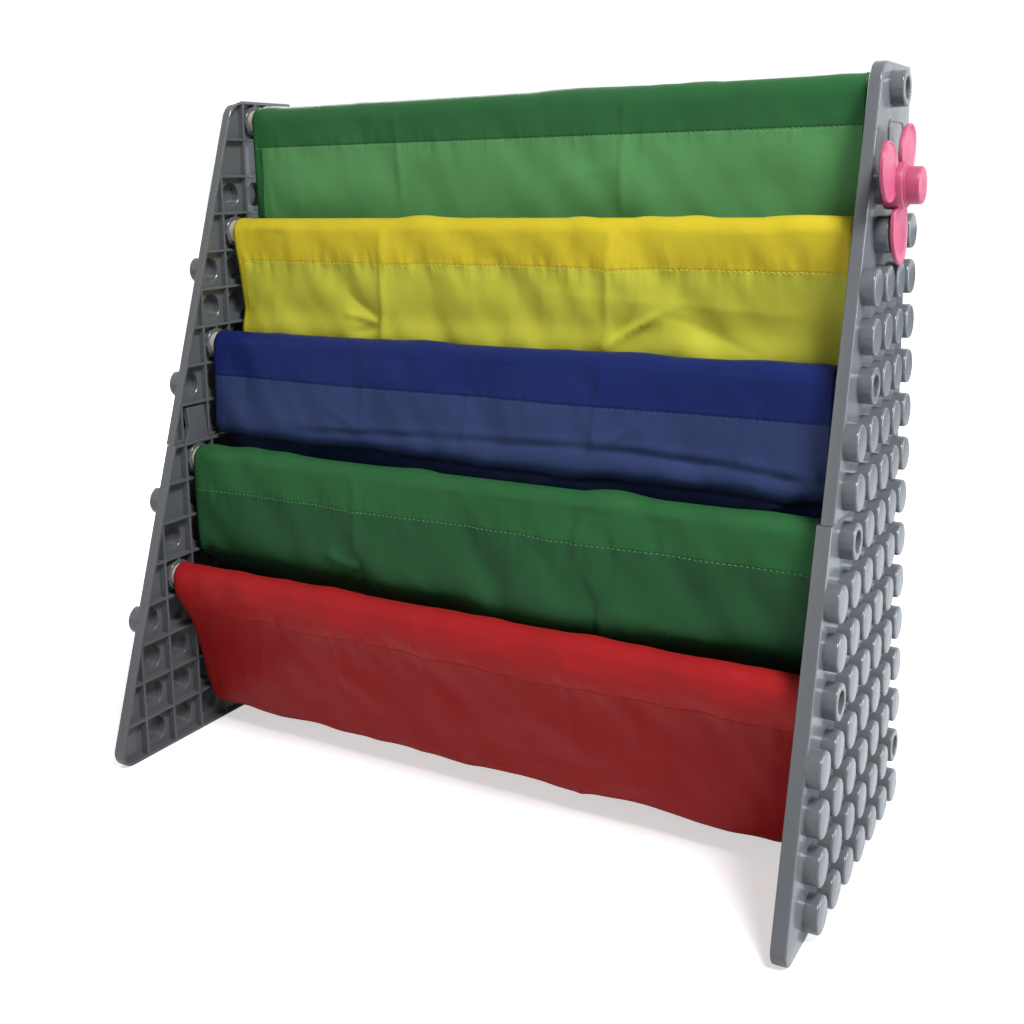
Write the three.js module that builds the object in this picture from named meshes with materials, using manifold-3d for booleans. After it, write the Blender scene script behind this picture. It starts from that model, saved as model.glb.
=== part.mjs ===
// Sling bookshelf for a child's room: two studded plastic side panels, six rods and five cloth
// sheets that make four pockets. A toy spinner turns on one stud of the right panel.
// Millimetres, +X to the right, +Y to the back, +Z up, origin in the middle of the footprint.

import * as THREE from 'three';
import { mergeGeometries, mergeVertices } from 'three/addons/utils/BufferGeometryUtils.js';
import Module from 'manifold-3d';

const wasm = await Module();
wasm.setup();

// Side panels: a grid of square cells with one stud outside each cell
const PITCH = 32;
const ROWS = 17;
const UPPER_ROWS = 9;
const COLUMNS = 7;
const RIM = 1.5;
const BACK_MARGIN = 17.6;
const FOOT_REACH = 49.6;
const FRONT_LEAN = 3.05;
const TOP_CORNER_RADIUS = 20;
const FOOT_CORNER_RADIUS = 12;
const BACK_CORNER_RADIUS = 3;
const CORNER_SEGMENTS = 4;
const SKIN = 3;
const UPPER_THICKNESS = 8.5;
const LOWER_THICKNESS = 10;
const LOWER_SET_IN = 1;
const RIB = 2.2;
const SEAM_GAP = 0.4;
const INSIDE_WIDTH = 549;

// Studs on the panels, the raised frame that stands blank near the top, and the joining tabs
const STUD_RADIUS = 12.25;
const STUD_HEIGHT = 9.3;
const STUD_HOLE_RADIUS = 7.5;
const STUD_SIDES = 8;
const FIRST_STUD_ROW = 3;
const BADGE = { row: 2, column: 5.3, width: 44, height: 24, line: 2, raise: 0.8, radius: 7 };
const TAB_COLUMNS = [2, 5];
const TAB_HEIGHT = 29;
const TAB_TOP_WIDTH = 21;

// Rods, their sockets and the screws that hold them
const FIRST_ROD_COLUMN = 5;
const ROD_ROW_STEP = 3;
const FRONT_RODS = 5;
const REAR_ROD = { row: 16, column: 6 };
const ROD_RADIUS = 10;
const SOCKET_WALL = 2.7;
const ROD_SIDES = 12;
const SCREW_RADIUS = 2;
const SCREW_REACH = 22;
const SCREW_HEAD_RADIUS = 4.6;
const SCREW_HEAD_HEIGHT = 3;
const SCREW_SIDES = 6;
const SCREW_HEAD_SIDES = 8;
const PILOT_EXTRA = 1;

// Cloth sheets
const CLOTH = 1.6;
const SHEET_END_GAP = 6;
const SLEEVE_SLACK = 0.7;
const SLEEVE_DROP = 28;
const SLEEVE_STEPS = 7;
const SLEEVE_START_ANGLE = -32;
const SEAM_ALLOWANCE = 10;
const STATIONS = 12;
const BULGE = 4;

// The back sheet hangs down to the rear rod; its ripple stands in the part seen above the pockets
const BACK_SAG = 1.5;
const BACK_STEPS = 6;
const BACK_STEP_DROP = 22;
const BACK_RIPPLE = { depth: 2, drop: 65, reach: 22, shift: 0.6 };

// Each pocket's line down from its rod, as pairs of depth and drop from the middle of the rod.
// The line ends at the seam, drawn at the depth of the back sheet, seamDrop below the rod.
const POCKETS = [
  {
    name: 'cloth_pocket_yellow',
    rod: 1,
    line: [[-9, 14], [-6, 27], [-2, 50], [0, 69], [-4, 88], [1, 108], [12, 124]],
    seamDrop: 133,
    ripple: { depth: 1.6, waves: 3, shift: 0.3, slant: 0.6 },
  },
  {
    name: 'cloth_pocket_blue',
    rod: 2,
    line: [[-13, 20], [-14, 45], [-14.5, 70], [-10, 76], [0, 80], [8, 96], [24, 114], [46, 127]],
    seamDrop: 133,
    ripple: { depth: 1.8, waves: 2.5, shift: 0.7, slant: 0.8 },
  },
  {
    name: 'cloth_pocket_green',
    rod: 3,
    line: [[-11, 20], [-9.5, 45], [-8, 72], [-5, 80], [7, 90], [19, 102], [45, 118], [78, 129]],
    seamDrop: 133,
    ripple: { depth: 1.8, waves: 3, shift: 0.1, slant: 0.7 },
  },
];

// The lowest sheet runs down, round a corner near the floor and back up to the rear rod
const SLING = {
  name: 'cloth_sling_red',
  rod: 4,
  line: [
    [-10.5, 10], [-6, 20], [-1, 28], [5, 39], [11, 54], [16, 72], [21, 92], [27, 110],
    [32, 121], [38, 127], [50, 130], [70, 129], [100, 121], [125, 110],
  ],
  ripple: { depth: 1.8, waves: 2.5, shift: 0.4, slant: 0.4 },
};

// Toy spinner; a blade's root and widest part are shares of its half width, or lengths along it
const SPINNER = { row: 3, column: 4 };
const HUB_RADIUS = 15.5;
const HUB_LIFT = 3.9;
const HUB_LENGTH = 13.7;
const HUB_STUD_HEIGHT = 10.3;
const HUB_SIDES = 16;
const BLADES = 3;
const BLADE_ROOT = 12;
const BLADE_REACH = 53;
const BLADE_WIDTH = 37;
const BLADE_ROOT_SHARE = 0.55;
const BLADE_SWELL = { nearRoot: [1.3, 8], nearTip: [1.2, 7] };
const BLADE_THICKNESS = 3;
const BLADE_PITCH = 4;
const BLADE_CLEARANCE = 1.2;
const FIRST_BLADE_ANGLE = 48;

// Clearances between pieces
const GAP = 0.3;
const PIVOT_CLEARANCE = 0.1;

// Places that follow from the sizes; depth is counted from the panels' back edge
const PANEL_HEIGHT = ROWS * PITCH + 2 * RIM;
const SEAM_HEIGHT = (ROWS - UPPER_ROWS) * PITCH + RIM;
const UPPER_FACE = INSIDE_WIDTH / 2 + UPPER_THICKNESS;
const LOWER_FACE = UPPER_FACE - LOWER_SET_IN;
const LEAN_ANGLE = Math.atan(1 / FRONT_LEAN);
const RIM_WALL = RIM + RIB / 2;
const SHEET_WIDTH = INSIDE_WIDTH - 2 * SHEET_END_GAP;
const SLEEVE_RADIUS = ROD_RADIUS + SLEEVE_SLACK + CLOTH / 2;
const columnDepth = (column) => (column - COLUMNS + 1) * PITCH - BACK_MARGIN;
const rowHeight = (row) => (ROWS - row + 0.5) * PITCH + RIM;
const frontAt = (height) => columnDepth(0) - FOOT_REACH + height / FRONT_LEAN;
const rodPlaces = Array.from({ length: FRONT_RODS }, (_, i) => ({
  y: columnDepth(FIRST_ROD_COLUMN - i),
  z: rowHeight(1 + ROD_ROW_STEP * i),
}));
const rearRod = { y: columnDepth(REAR_ROD.column), z: rowHeight(REAR_ROD.row) };
const pivotPlace = { y: columnDepth(SPINNER.column), z: rowHeight(SPINNER.row) };

const PLASTIC_GREY = { color: 0x8b909a, roughness: 0.32, metalness: 0 };
const ROD_CREAM = { color: 0xe6dfd0, roughness: 0.5, metalness: 0 };
const STEEL = { color: 0xb4b6b8, roughness: 0.35, metalness: 1 };
const SPINNER_PINK = { color: 0xe8739f, roughness: 0.35, metalness: 0 };
const CLOTH_GREEN = { color: 0x3d7a48, roughness: 0.7, metalness: 0 };
const CLOTH_YELLOW = { color: 0xd2be32, roughness: 0.7, metalness: 0 };
const CLOTH_BLUE = { color: 0x2a3b84, roughness: 0.7, metalness: 0 };
const CLOTH_RED = { color: 0xa8282c, roughness: 0.7, metalness: 0 };

// Solids and joins

function toSolid(geometry) {
  const bare = geometry.index ? geometry.clone() : geometry;
  bare.deleteAttribute('normal');
  bare.deleteAttribute('uv');
  const merged = mergeVertices(bare, 1e-4);
  return new wasm.Manifold(new wasm.Mesh({
    numProp: 3,
    vertProperties: new Float32Array(merged.attributes.position.array),
    triVerts: new Uint32Array(merged.index.array),
  }));
}

function toGeometry(solid) {
  const { vertProperties, triVerts } = solid.getMesh();
  const geometry = new THREE.BufferGeometry();
  geometry.setAttribute('position', new THREE.BufferAttribute(vertProperties, 3));
  geometry.setIndex(new THREE.BufferAttribute(triVerts, 1));
  geometry.computeVertexNormals();
  return geometry;
}

function makeMesh(name, geometry, finish) {
  const mesh = new THREE.Mesh(geometry, new THREE.MeshStandardMaterial(finish));
  mesh.name = name;
  return mesh;
}

// A flat shape drawn in depth and height, made solid from one X to another
function slab(shape, fromX, toX) {
  const low = Math.min(fromX, toX);
  const geometry = new THREE.ExtrudeGeometry(shape, {
    depth: Math.abs(toX - fromX),
    bevelEnabled: false,
    curveSegments: CORNER_SEGMENTS,
  });
  const depthToX = new THREE.Matrix4().set(0, 0, 1, low, 1, 0, 0, 0, 0, 1, 0, 0, 0, 0, 0, 1);
  return geometry.applyMatrix4(depthToX);
}

// A round bar along X
function bar(radius, fromX, toX, place, sides) {
  const geometry = new THREE.CylinderGeometry(radius, radius, Math.abs(toX - fromX), sides);
  geometry.rotateY(Math.PI / sides);
  geometry.rotateZ(Math.PI / 2);
  return geometry.translate((fromX + toX) / 2, place.y, place.z);
}

function box(fromX, toX, place, depth, height) {
  return new THREE.BoxGeometry(Math.abs(toX - fromX), depth, height)
    .translate((fromX + toX) / 2, place.y, place.z);
}

// Side panels

// A closed outline whose corners are rounded by the radius given with each point
function roundedShape(corners) {
  const shape = new THREE.Shape();
  corners.forEach((corner, i) => {
    const at = new THREE.Vector2(corner.y, corner.z);
    const before = corners[(i + corners.length - 1) % corners.length];
    const after = corners[(i + 1) % corners.length];
    const toBefore = new THREE.Vector2(before.y, before.z).sub(at).normalize();
    const toAfter = new THREE.Vector2(after.y, after.z).sub(at).normalize();
    const halfAngle = Math.acos(toBefore.dot(toAfter)) / 2;
    const start = at.clone().addScaledVector(toBefore, corner.r / Math.tan(halfAngle));
    if (i === 0) shape.moveTo(start.x, start.y);
    else shape.lineTo(start.x, start.y);
    if (corner.r <= 0) return;
    const end = at.clone().addScaledVector(toAfter, corner.r / Math.tan(halfAngle));
    const centre = toBefore.clone().add(toAfter).normalize()
      .multiplyScalar(corner.r / Math.sin(halfAngle)).add(at);
    const startAngle = Math.atan2(start.y - centre.y, start.x - centre.x);
    const endAngle = Math.atan2(end.y - centre.y, end.x - centre.x);
    shape.absarc(centre.x, centre.y, corner.r, startAngle, endAngle, false);
  });
  shape.closePath();
  return shape;
}

// The outline of the upper or the lower half, drawn in by an inset
function halfOutline(upper, inset) {
  const bottom = (upper ? SEAM_HEIGHT + SEAM_GAP / 2 : 0) + inset;
  const top = (upper ? PANEL_HEIGHT : SEAM_HEIGHT - SEAM_GAP / 2) - inset;
  const front = (height) => frontAt(height) + inset / Math.cos(LEAN_ANGLE);
  const fillet = (radius, used) => (used ? Math.max(radius - inset, 0) : 0);
  return roundedShape([
    { y: front(bottom), z: bottom, r: fillet(FOOT_CORNER_RADIUS, !upper) },
    { y: -inset, z: bottom, r: fillet(BACK_CORNER_RADIUS, !upper) },
    { y: -inset, z: top, r: fillet(BACK_CORNER_RADIUS, upper) },
    { y: front(top), z: top, r: fillet(TOP_CORNER_RADIUS, upper) },
  ]);
}

function rowsOfHalf(upper) {
  const first = upper ? 1 : UPPER_ROWS + 1;
  const last = upper ? UPPER_ROWS : ROWS;
  return Array.from({ length: last - first + 1 }, (_, i) => first + i);
}

const isAt = (place, other) => place.y === other.y && place.z === other.z;
const rodAt = (place) => [...rodPlaces, rearRod].some((rod) => isAt(place, rod));

function studPlaces(upper) {
  const places = [];
  for (const row of rowsOfHalf(upper)) {
    for (let column = 0; column < COLUMNS; column += 1) {
      const place = { y: columnDepth(column), z: rowHeight(row) };
      const fits = place.y - frontAt(place.z) >= STUD_RADIUS && row >= FIRST_STUD_ROW;
      if (fits || rodAt(place)) places.push(place);
    }
  }
  return places;
}

function cellPockets(upper, fromX, toX) {
  const cells = [];
  const edge = PITCH - RIB;
  for (const row of rowsOfHalf(upper)) {
    const reach = frontAt(rowHeight(row)) + RIM_WALL;
    for (let column = COLUMNS - 1; columnDepth(column) + edge / 2 > reach; column -= 1) {
      const place = { y: columnDepth(column), z: rowHeight(row) };
      cells.push(box(fromX, toX, place, edge, edge));
    }
  }
  const inside = toSolid(slab(halfOutline(upper, RIM_WALL), fromX, toX));
  return toSolid(mergeGeometries(cells)).intersect(inside);
}

function tabShape(column, clearance) {
  const y = columnDepth(column);
  const bottom = (PITCH - RIB) / 2 - GAP + clearance;
  const top = TAB_TOP_WIDTH / 2 + clearance;
  const root = SEAM_HEIGHT - RIM_WALL;
  const tip = SEAM_HEIGHT + TAB_HEIGHT + clearance;
  return roundedShape([
    { y: y - bottom, z: root, r: 0 },
    { y: y + bottom, z: root, r: 0 },
    { y: y + top, z: tip, r: 0 },
    { y: y - top, z: tip, r: 0 },
  ]);
}

function badgeFrame(faceX, side) {
  const { row, column, width, height, line, raise, radius } = BADGE;
  const y = columnDepth(column);
  const z = rowHeight(row);
  const outline = (inset) => roundedShape([
    { y: y - width / 2 + inset, z: z - height / 2 + inset, r: radius - inset },
    { y: y + width / 2 - inset, z: z - height / 2 + inset, r: radius - inset },
    { y: y + width / 2 - inset, z: z + height / 2 - inset, r: radius - inset },
    { y: y - width / 2 + inset, z: z + height / 2 - inset, r: radius - inset },
  ]);
  const fromX = faceX - side * SKIN / 2;
  const outer = toSolid(slab(outline(0), fromX, faceX + side * raise));
  const inner = toSolid(slab(outline(line), faceX, faceX + side * 2 * raise));
  return outer.subtract(inner);
}

// One half of a side panel. side is +1 on the right and -1 on the left.
function panelHalf(side, upper) {
  const faceX = side * (upper ? UPPER_FACE : LOWER_FACE);
  const thickness = upper ? UPPER_THICKNESS : LOWER_THICKNESS;
  const insideX = faceX - side * thickness;
  const skinX = faceX - side * SKIN;
  const rods = [...rodPlaces, rearRod].filter((rod) => (rod.z > SEAM_HEIGHT) === upper);
  const overshoot = side * PITCH;

  let solid = toSolid(slab(halfOutline(upper, 0), faceX, insideX));
  solid = solid.subtract(cellPockets(upper, skinX, insideX - overshoot));

  const edge = PITCH - RIB / 2;
  const socketRadius = ROD_RADIUS + GAP + SOCKET_WALL;
  for (const rod of rods) {
    const socket = toSolid(bar(socketRadius, skinX + side * SKIN / 2, insideX, rod, ROD_SIDES))
      .add(toSolid(box(skinX + side * SKIN / 2, insideX, rod, edge, RIB)))
      .add(toSolid(box(skinX + side * SKIN / 2, insideX, rod, RIB, edge)));
    const seat = toSolid(bar(ROD_RADIUS + GAP, skinX, insideX - overshoot, rod, ROD_SIDES));
    solid = solid.add(socket).subtract(seat);
  }

  const studs = studPlaces(upper).map((place) => {
    const sides = isAt(place, pivotPlace) ? HUB_SIDES : STUD_SIDES;
    return bar(STUD_RADIUS, faceX - side * SKIN / 2, faceX + side * STUD_HEIGHT, place, sides);
  });
  solid = solid.add(toSolid(mergeGeometries(studs)));
  for (const rod of rods) {
    const hollow = toSolid(bar(STUD_HOLE_RADIUS, faceX, faceX + overshoot, rod, STUD_SIDES));
    const screwHole = toSolid(bar(SCREW_RADIUS + GAP, faceX + overshoot, insideX, rod, SCREW_SIDES));
    solid = solid.subtract(hollow).subtract(screwHole);
  }

  const upperInsideX = side * INSIDE_WIDTH / 2;
  const tabOuterX = side * (UPPER_FACE - SKIN - GAP);
  for (const column of TAB_COLUMNS) {
    if (upper) {
      const notch = slab(tabShape(column, GAP), skinX, insideX - overshoot);
      solid = solid.subtract(toSolid(notch));
    } else {
      solid = solid.add(toSolid(slab(tabShape(column, 0), tabOuterX, upperInsideX)));
    }
  }
  if (upper) solid = solid.add(badgeFrame(faceX, side));

  const name = `${side > 0 ? 'right' : 'left'}_panel_${upper ? 'upper' : 'lower'}`;
  return makeMesh(name, toGeometry(solid), PLASTIC_GREY);
}

// Rods and screws

const seatFloor = (place) => (place.z > SEAM_HEIGHT ? UPPER_FACE : LOWER_FACE) - SKIN;

function rodMesh(name, place) {
  const end = seatFloor(place) - GAP;
  const pilotFloor = end - SCREW_REACH - PILOT_EXTRA;
  const pilotMouth = end + PILOT_EXTRA;
  let solid = toSolid(bar(ROD_RADIUS, -end, end, place, ROD_SIDES));
  for (const side of [-1, 1]) {
    const pilot = bar(SCREW_RADIUS + GAP, side * pilotFloor, side * pilotMouth, place, SCREW_SIDES);
    solid = solid.subtract(toSolid(pilot));
  }
  return makeMesh(name, toGeometry(solid), ROD_CREAM);
}

function screwMesh(name, place, side) {
  const tip = seatFloor(place) - SCREW_REACH;
  const headSeat = seatFloor(place) + SKIN + GAP;
  const headMiddle = headSeat + SCREW_HEAD_HEIGHT / 2;
  const headTop = headSeat + SCREW_HEAD_HEIGHT;
  const head = bar(SCREW_HEAD_RADIUS, side * headSeat, side * headTop, place, SCREW_HEAD_SIDES);
  const shank = bar(SCREW_RADIUS, side * tip, side * headMiddle, place, SCREW_SIDES);
  return makeMesh(name, toGeometry(toSolid(head).add(toSolid(shank))), STEEL);
}

// Cloth sheets

// The cloth's middle line round a rod, from behind it to its front. turn is +1 over the top of the
// rod, and -1 under it.
function sleeveRound(rod, turn) {
  const path = [];
  for (let i = 0; i <= SLEEVE_STEPS; i += 1) {
    const angle = THREE.MathUtils.degToRad(
      THREE.MathUtils.lerp(SLEEVE_START_ANGLE, 180, i / SLEEVE_STEPS),
    );
    path.push({
      y: rod.y + SLEEVE_RADIUS * Math.cos(angle),
      z: rod.z + turn * SLEEVE_RADIUS * Math.sin(angle),
    });
  }
  return path;
}

// The free edge of a sleeve, which lies against the back of the sheet's own front at a height
function sleeveFlap(front, height) {
  const next = front.findIndex((point, i) => i > 0 && point.z <= height);
  const above = front[next - 1];
  const below = front[next];
  const share = (above.z - height) / (above.z - below.z);
  return { y: THREE.MathUtils.lerp(above.y, below.y, share) + CLOTH + GAP, z: height };
}

// A sheet is its middle line at each station across the width, given half the thickness each way
function sheetMesh(name, lineAt, finish) {
  const lines = [];
  for (let i = 0; i < STATIONS; i += 1) {
    const across = -1 + 2 * i / (STATIONS - 1);
    lines.push({ x: across * SHEET_WIDTH / 2, points: lineAt(across) });
  }
  const count = lines[0].points.length;
  const positions = [];
  for (const face of [1, -1]) {
    for (const { x, points } of lines) {
      points.forEach((point, k) => {
        const before = points[Math.max(k - 1, 0)];
        const after = points[Math.min(k + 1, count - 1)];
        const length = Math.hypot(after.y - before.y, after.z - before.z);
        const offset = face * CLOTH / 2 / length;
        const y = point.y - (after.z - before.z) * offset;
        const z = point.z + (after.y - before.y) * offset;
        positions.push(x, y, z);
      });
    }
  }
  const vertex = (face, station, k) => (face * STATIONS + station) * count + k;
  const faces = [];
  const quad = (a, b, c, d) => faces.push(a, b, c, a, c, d);
  const end = count - 1;
  const last = STATIONS - 1;
  for (let i = 0; i < STATIONS - 1; i += 1) {
    for (let k = 0; k < count - 1; k += 1) {
      quad(vertex(0, i, k), vertex(0, i + 1, k), vertex(0, i + 1, k + 1), vertex(0, i, k + 1));
      quad(vertex(1, i, k), vertex(1, i, k + 1), vertex(1, i + 1, k + 1), vertex(1, i + 1, k));
    }
    quad(vertex(0, i, 0), vertex(1, i, 0), vertex(1, i + 1, 0), vertex(0, i + 1, 0));
    quad(vertex(0, i, end), vertex(0, i + 1, end), vertex(1, i + 1, end), vertex(1, i, end));
  }
  for (let k = 0; k < count - 1; k += 1) {
    quad(vertex(0, 0, k), vertex(0, 0, k + 1), vertex(1, 0, k + 1), vertex(1, 0, k));
    quad(vertex(0, last, k), vertex(1, last, k), vertex(1, last, k + 1), vertex(0, last, k + 1));
  }
  const geometry = new THREE.BufferGeometry();
  geometry.setAttribute('position', new THREE.BufferAttribute(new Float32Array(positions), 3));
  geometry.setIndex(faces);
  geometry.computeVertexNormals();
  return makeMesh(name, geometry, finish);
}

// Depth of the back sheet's middle line at a height: it hangs straight, then leans to the rear rod
function backSheetAt(height) {
  const top = rodPlaces[0];
  const share = (top.z - height) / (top.z - rearRod.z);
  return THREE.MathUtils.lerp(top.y, rearRod.y, share ** BACK_SAG) - SLEEVE_RADIUS;
}

function backSheet() {
  const top = rodPlaces[0];
  const heights = Array.from({ length: BACK_STEPS }, (_, i) => top.z - (i + 1) * BACK_STEP_DROP)
    .concat(rodPlaces.slice(2).map((rod) => rod.z));
  const { depth, drop, reach, shift } = BACK_RIPPLE;
  const lineAt = (across) => {
    const hang = heights.map((z) => {
      const fade = Math.exp(-(((top.z - z - drop) / reach) ** 2));
      return { y: backSheetAt(z) + depth * fade * Math.sin(2 * Math.PI * across + shift), z };
    });
    const over = sleeveRound(top, 1);
    const under = sleeveRound(rearRod, -1).reverse();
    const front = [over[SLEEVE_STEPS], ...hang, under[0]];
    const upperFlap = sleeveFlap(front, top.z - SLEEVE_DROP);
    const lowerFlap = sleeveFlap(front, rearRod.z + SLEEVE_DROP);
    return [upperFlap, ...over, ...hang, ...under, lowerFlap];
  };
  return sheetMesh('cloth_back_green', lineAt, CLOTH_GREEN);
}

// A sheet that hangs from a front rod's sleeve along its own line and ends behind, where it is sewn
function hangingSheet({ name, rod, line, ripple }, ending, finish) {
  const place = rodPlaces[rod];
  const fullDrop = place.z - ending[0].z;
  const { depth, waves, shift, slant } = ripple;
  const lineAt = (across) => {
    const swell = BULGE * (1 - Math.abs(across) ** 3);
    const hang = line.map(([y, drop]) => {
      const share = Math.min(drop / fullDrop, 1);
      const wave = depth * Math.sin(Math.PI * (waves * across + shift + slant * share));
      return { y: place.y + y + (wave - swell) * Math.sin(Math.PI * share), z: place.z - drop };
    });
    const over = sleeveRound(place, 1);
    const front = [over[SLEEVE_STEPS], ...hang];
    return [sleeveFlap(front, place.z - SLEEVE_DROP), ...over, ...hang, ...ending];
  };
  return sheetMesh(name, lineAt, finish);
}

// A pocket ends in a seam allowance that lies flat against the back sheet
function pocketSheet(pocket, finish) {
  const seam = rodPlaces[pocket.rod].z - pocket.seamDrop;
  const ending = [seam, seam - SEAM_ALLOWANCE]
    .map((z) => ({ y: backSheetAt(z) - CLOTH - GAP, z }));
  return hangingSheet(pocket, ending, finish);
}

// The sling ends on the front of the back sheet where that passes round the rear rod
function slingSheet(sling, finish) {
  const ending = [{ y: backSheetAt(rearRod.z) - CLOTH - GAP, z: rearRod.z }];
  return hangingSheet(sling, ending, finish);
}

// Toy spinner

function bladeShape() {
  const half = BLADE_WIDTH / 2;
  const [swellByRoot, rootLength] = BLADE_SWELL.nearRoot;
  const [swellByTip, tipLength] = BLADE_SWELL.nearTip;
  const low = BLADE_ROOT + rootLength;
  const high = BLADE_REACH - tipLength;
  const leaf = new THREE.Shape();
  leaf.moveTo(half * BLADE_ROOT_SHARE, BLADE_ROOT);
  leaf.bezierCurveTo(half * swellByRoot, low, half * swellByTip, high, 0, BLADE_REACH);
  leaf.bezierCurveTo(-half * swellByTip, high, -half * swellByRoot, low,
    -half * BLADE_ROOT_SHARE, BLADE_ROOT);
  leaf.closePath();
  return leaf;
}

function spinnerMesh() {
  const hubBack = UPPER_FACE + HUB_LIFT;
  const hubFront = hubBack + HUB_LENGTH;
  const boreRadius = (STUD_RADIUS + PIVOT_CLEARANCE) / Math.cos(Math.PI / HUB_SIDES);
  const boreFloor = UPPER_FACE + STUD_HEIGHT + PIVOT_CLEARANCE;
  const centred = { y: 0, z: 0 };
  const hub = bar(HUB_RADIUS, hubBack, hubFront, centred, HUB_SIDES);
  const hubStud = bar(STUD_RADIUS, hubBack + HUB_LENGTH / 2, hubFront + HUB_STUD_HEIGHT, centred,
    HUB_SIDES);
  let solid = toSolid(hub).add(toSolid(hubStud));

  const tilt = THREE.MathUtils.degToRad(BLADE_PITCH);
  const bladeX = UPPER_FACE + STUD_HEIGHT + BLADE_CLEARANCE + BLADE_THICKNESS / 2
    + BLADE_WIDTH / 2 * Math.sin(tilt);
  for (let i = 0; i < BLADES; i += 1) {
    const blade = slab(bladeShape(), -BLADE_THICKNESS / 2, BLADE_THICKNESS / 2)
      .rotateZ(tilt)
      .rotateX(-THREE.MathUtils.degToRad(FIRST_BLADE_ANGLE) - i * 2 * Math.PI / BLADES)
      .translate(bladeX, 0, 0);
    solid = solid.add(toSolid(blade));
  }
  solid = solid.subtract(toSolid(bar(boreRadius, hubBack - GAP, boreFloor, centred, HUB_SIDES)));
  const mesh = makeMesh('spinner', toGeometry(solid), SPINNER_PINK);
  mesh.position.set(0, pivotPlace.y, pivotPlace.z);
  return mesh;
}

// Assembly

const shelf = new THREE.Group();
for (const side of [-1, 1]) {
  shelf.add(panelHalf(side, true));
  shelf.add(panelHalf(side, false));
}
const rods = rodPlaces.map((place, i) => ({ name: `front_rod_${i + 1}`, place }));
rods.push({ name: 'rear_rod', place: rearRod });
for (const { name, place } of rods) {
  shelf.add(rodMesh(name, place));
  shelf.add(screwMesh(`screw_left_${name}`, place, -1));
  shelf.add(screwMesh(`screw_right_${name}`, place, 1));
}
shelf.add(backSheet());
const pocketFinishes = [CLOTH_YELLOW, CLOTH_BLUE, CLOTH_GREEN];
POCKETS.forEach((pocket, i) => shelf.add(pocketSheet(pocket, pocketFinishes[i])));
shelf.add(slingSheet(SLING, CLOTH_RED));
shelf.add(spinnerMesh());

// The origin goes to the middle of the footprint, on the floor
shelf.updateMatrixWorld(true);
const bounds = new THREE.Box3().setFromObject(shelf, true);
const middle = bounds.getCenter(new THREE.Vector3());
shelf.position.set(-middle.x, -middle.y, -bounds.min.z);

const group = new THREE.Group();
group.add(shelf);
group.updateMatrixWorld(true);

export default group;
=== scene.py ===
import math

import bmesh
import bpy
from bpy.props import FloatProperty, FloatVectorProperty, IntProperty, PointerProperty
from bpy.types import Operator, Panel, PropertyGroup
from mathutils import Matrix, Vector, noise
from mathutils.geometry import delaunay_2d_cdt


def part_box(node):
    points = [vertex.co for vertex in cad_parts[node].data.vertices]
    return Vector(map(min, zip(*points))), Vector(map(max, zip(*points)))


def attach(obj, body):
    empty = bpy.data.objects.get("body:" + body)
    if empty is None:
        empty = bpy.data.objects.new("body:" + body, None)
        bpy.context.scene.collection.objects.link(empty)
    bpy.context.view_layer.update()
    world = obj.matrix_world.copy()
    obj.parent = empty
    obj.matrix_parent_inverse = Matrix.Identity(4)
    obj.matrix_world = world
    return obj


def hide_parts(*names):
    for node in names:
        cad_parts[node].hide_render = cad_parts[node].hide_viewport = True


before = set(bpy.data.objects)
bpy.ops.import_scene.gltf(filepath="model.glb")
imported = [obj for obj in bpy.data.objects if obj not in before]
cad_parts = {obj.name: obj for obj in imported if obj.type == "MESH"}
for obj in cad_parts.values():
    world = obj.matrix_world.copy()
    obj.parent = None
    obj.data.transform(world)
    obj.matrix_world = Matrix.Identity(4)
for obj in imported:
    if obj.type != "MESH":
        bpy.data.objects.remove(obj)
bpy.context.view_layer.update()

bl_info = {
    "name": "Sling Bookshelf",
    "version": (1, 0, 0),
    "blender": (4, 5, 0),
    "location": "View3D > Sidebar > Bookshelf",
    "description": "Builds the studded panels, rods, pockets and spinner of a sling bookshelf",
    "category": "Object",
}

# Sizes shared with the frame, in metres. X runs to the right, Y to the back and Z up.
PITCH = 0.032
ROWS = 17
UPPER_ROWS = 9
COLUMNS = 7
RIM = 0.0015
BACK_MARGIN = 0.0176
FOOT_REACH = 0.0496
FRONT_LEAN = 3.05
TOP_CORNER = 0.020
FOOT_CORNER = 0.012
BACK_CORNER = 0.003
SKIN = 0.003
UPPER_THICKNESS = 0.0085
LOWER_THICKNESS = 0.010
LOWER_SET_IN = 0.001
RIB = 0.0022
SEAM_GAP = 0.0004
INSIDE_WIDTH = 0.549
FIRST_STUD_ROW = 3
ROD_RADIUS = 0.010
FRONT_RODS = 5
SHEET_WIDTH = 0.537
RIGHT_HEM = 0.003
SLEEVE_RADIUS = 0.0113
SLEEVE_DROP = 0.028
SEAM_DROP = 0.026
LOW_SLEEVE = 0.0655
POCKET_DEPTH = 0.133
SEAM_ALLOWANCE = 0.010
BULGE = 0.004
FLAP_GAP = 0.0013
FIT_GAP = 0.0003
TAB_COLUMNS = (2, 5)
TAB_TIP = 0.0105
TAB_HEIGHT = 0.029
TAB_SLOT = 0.0045
PLAQUE_COLUMN = 5.3
PLAQUE_ROW = 2
PLAQUE_HALF_WIDTH = 0.022
PLAQUE_HALF_HEIGHT = 0.012
PLAQUE_CORNER = 0.007
STUD_RADIUS = 0.01225
STUD_HEIGHT = 0.0093
STUD_SINK = -0.0014
CUP_RADIUS = 0.0117
CUP_HEIGHT = 0.0068
SCREW_POINT = 0.003
SPINNER_ROW = 3
SPINNER_COLUMN = 4
BLADE_ROOT = 0.012
BLADE_REACH = 0.053
BLADE_HALF_WIDTH = 0.0185
BLADE_HALF_THICKNESS = 0.0015
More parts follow.
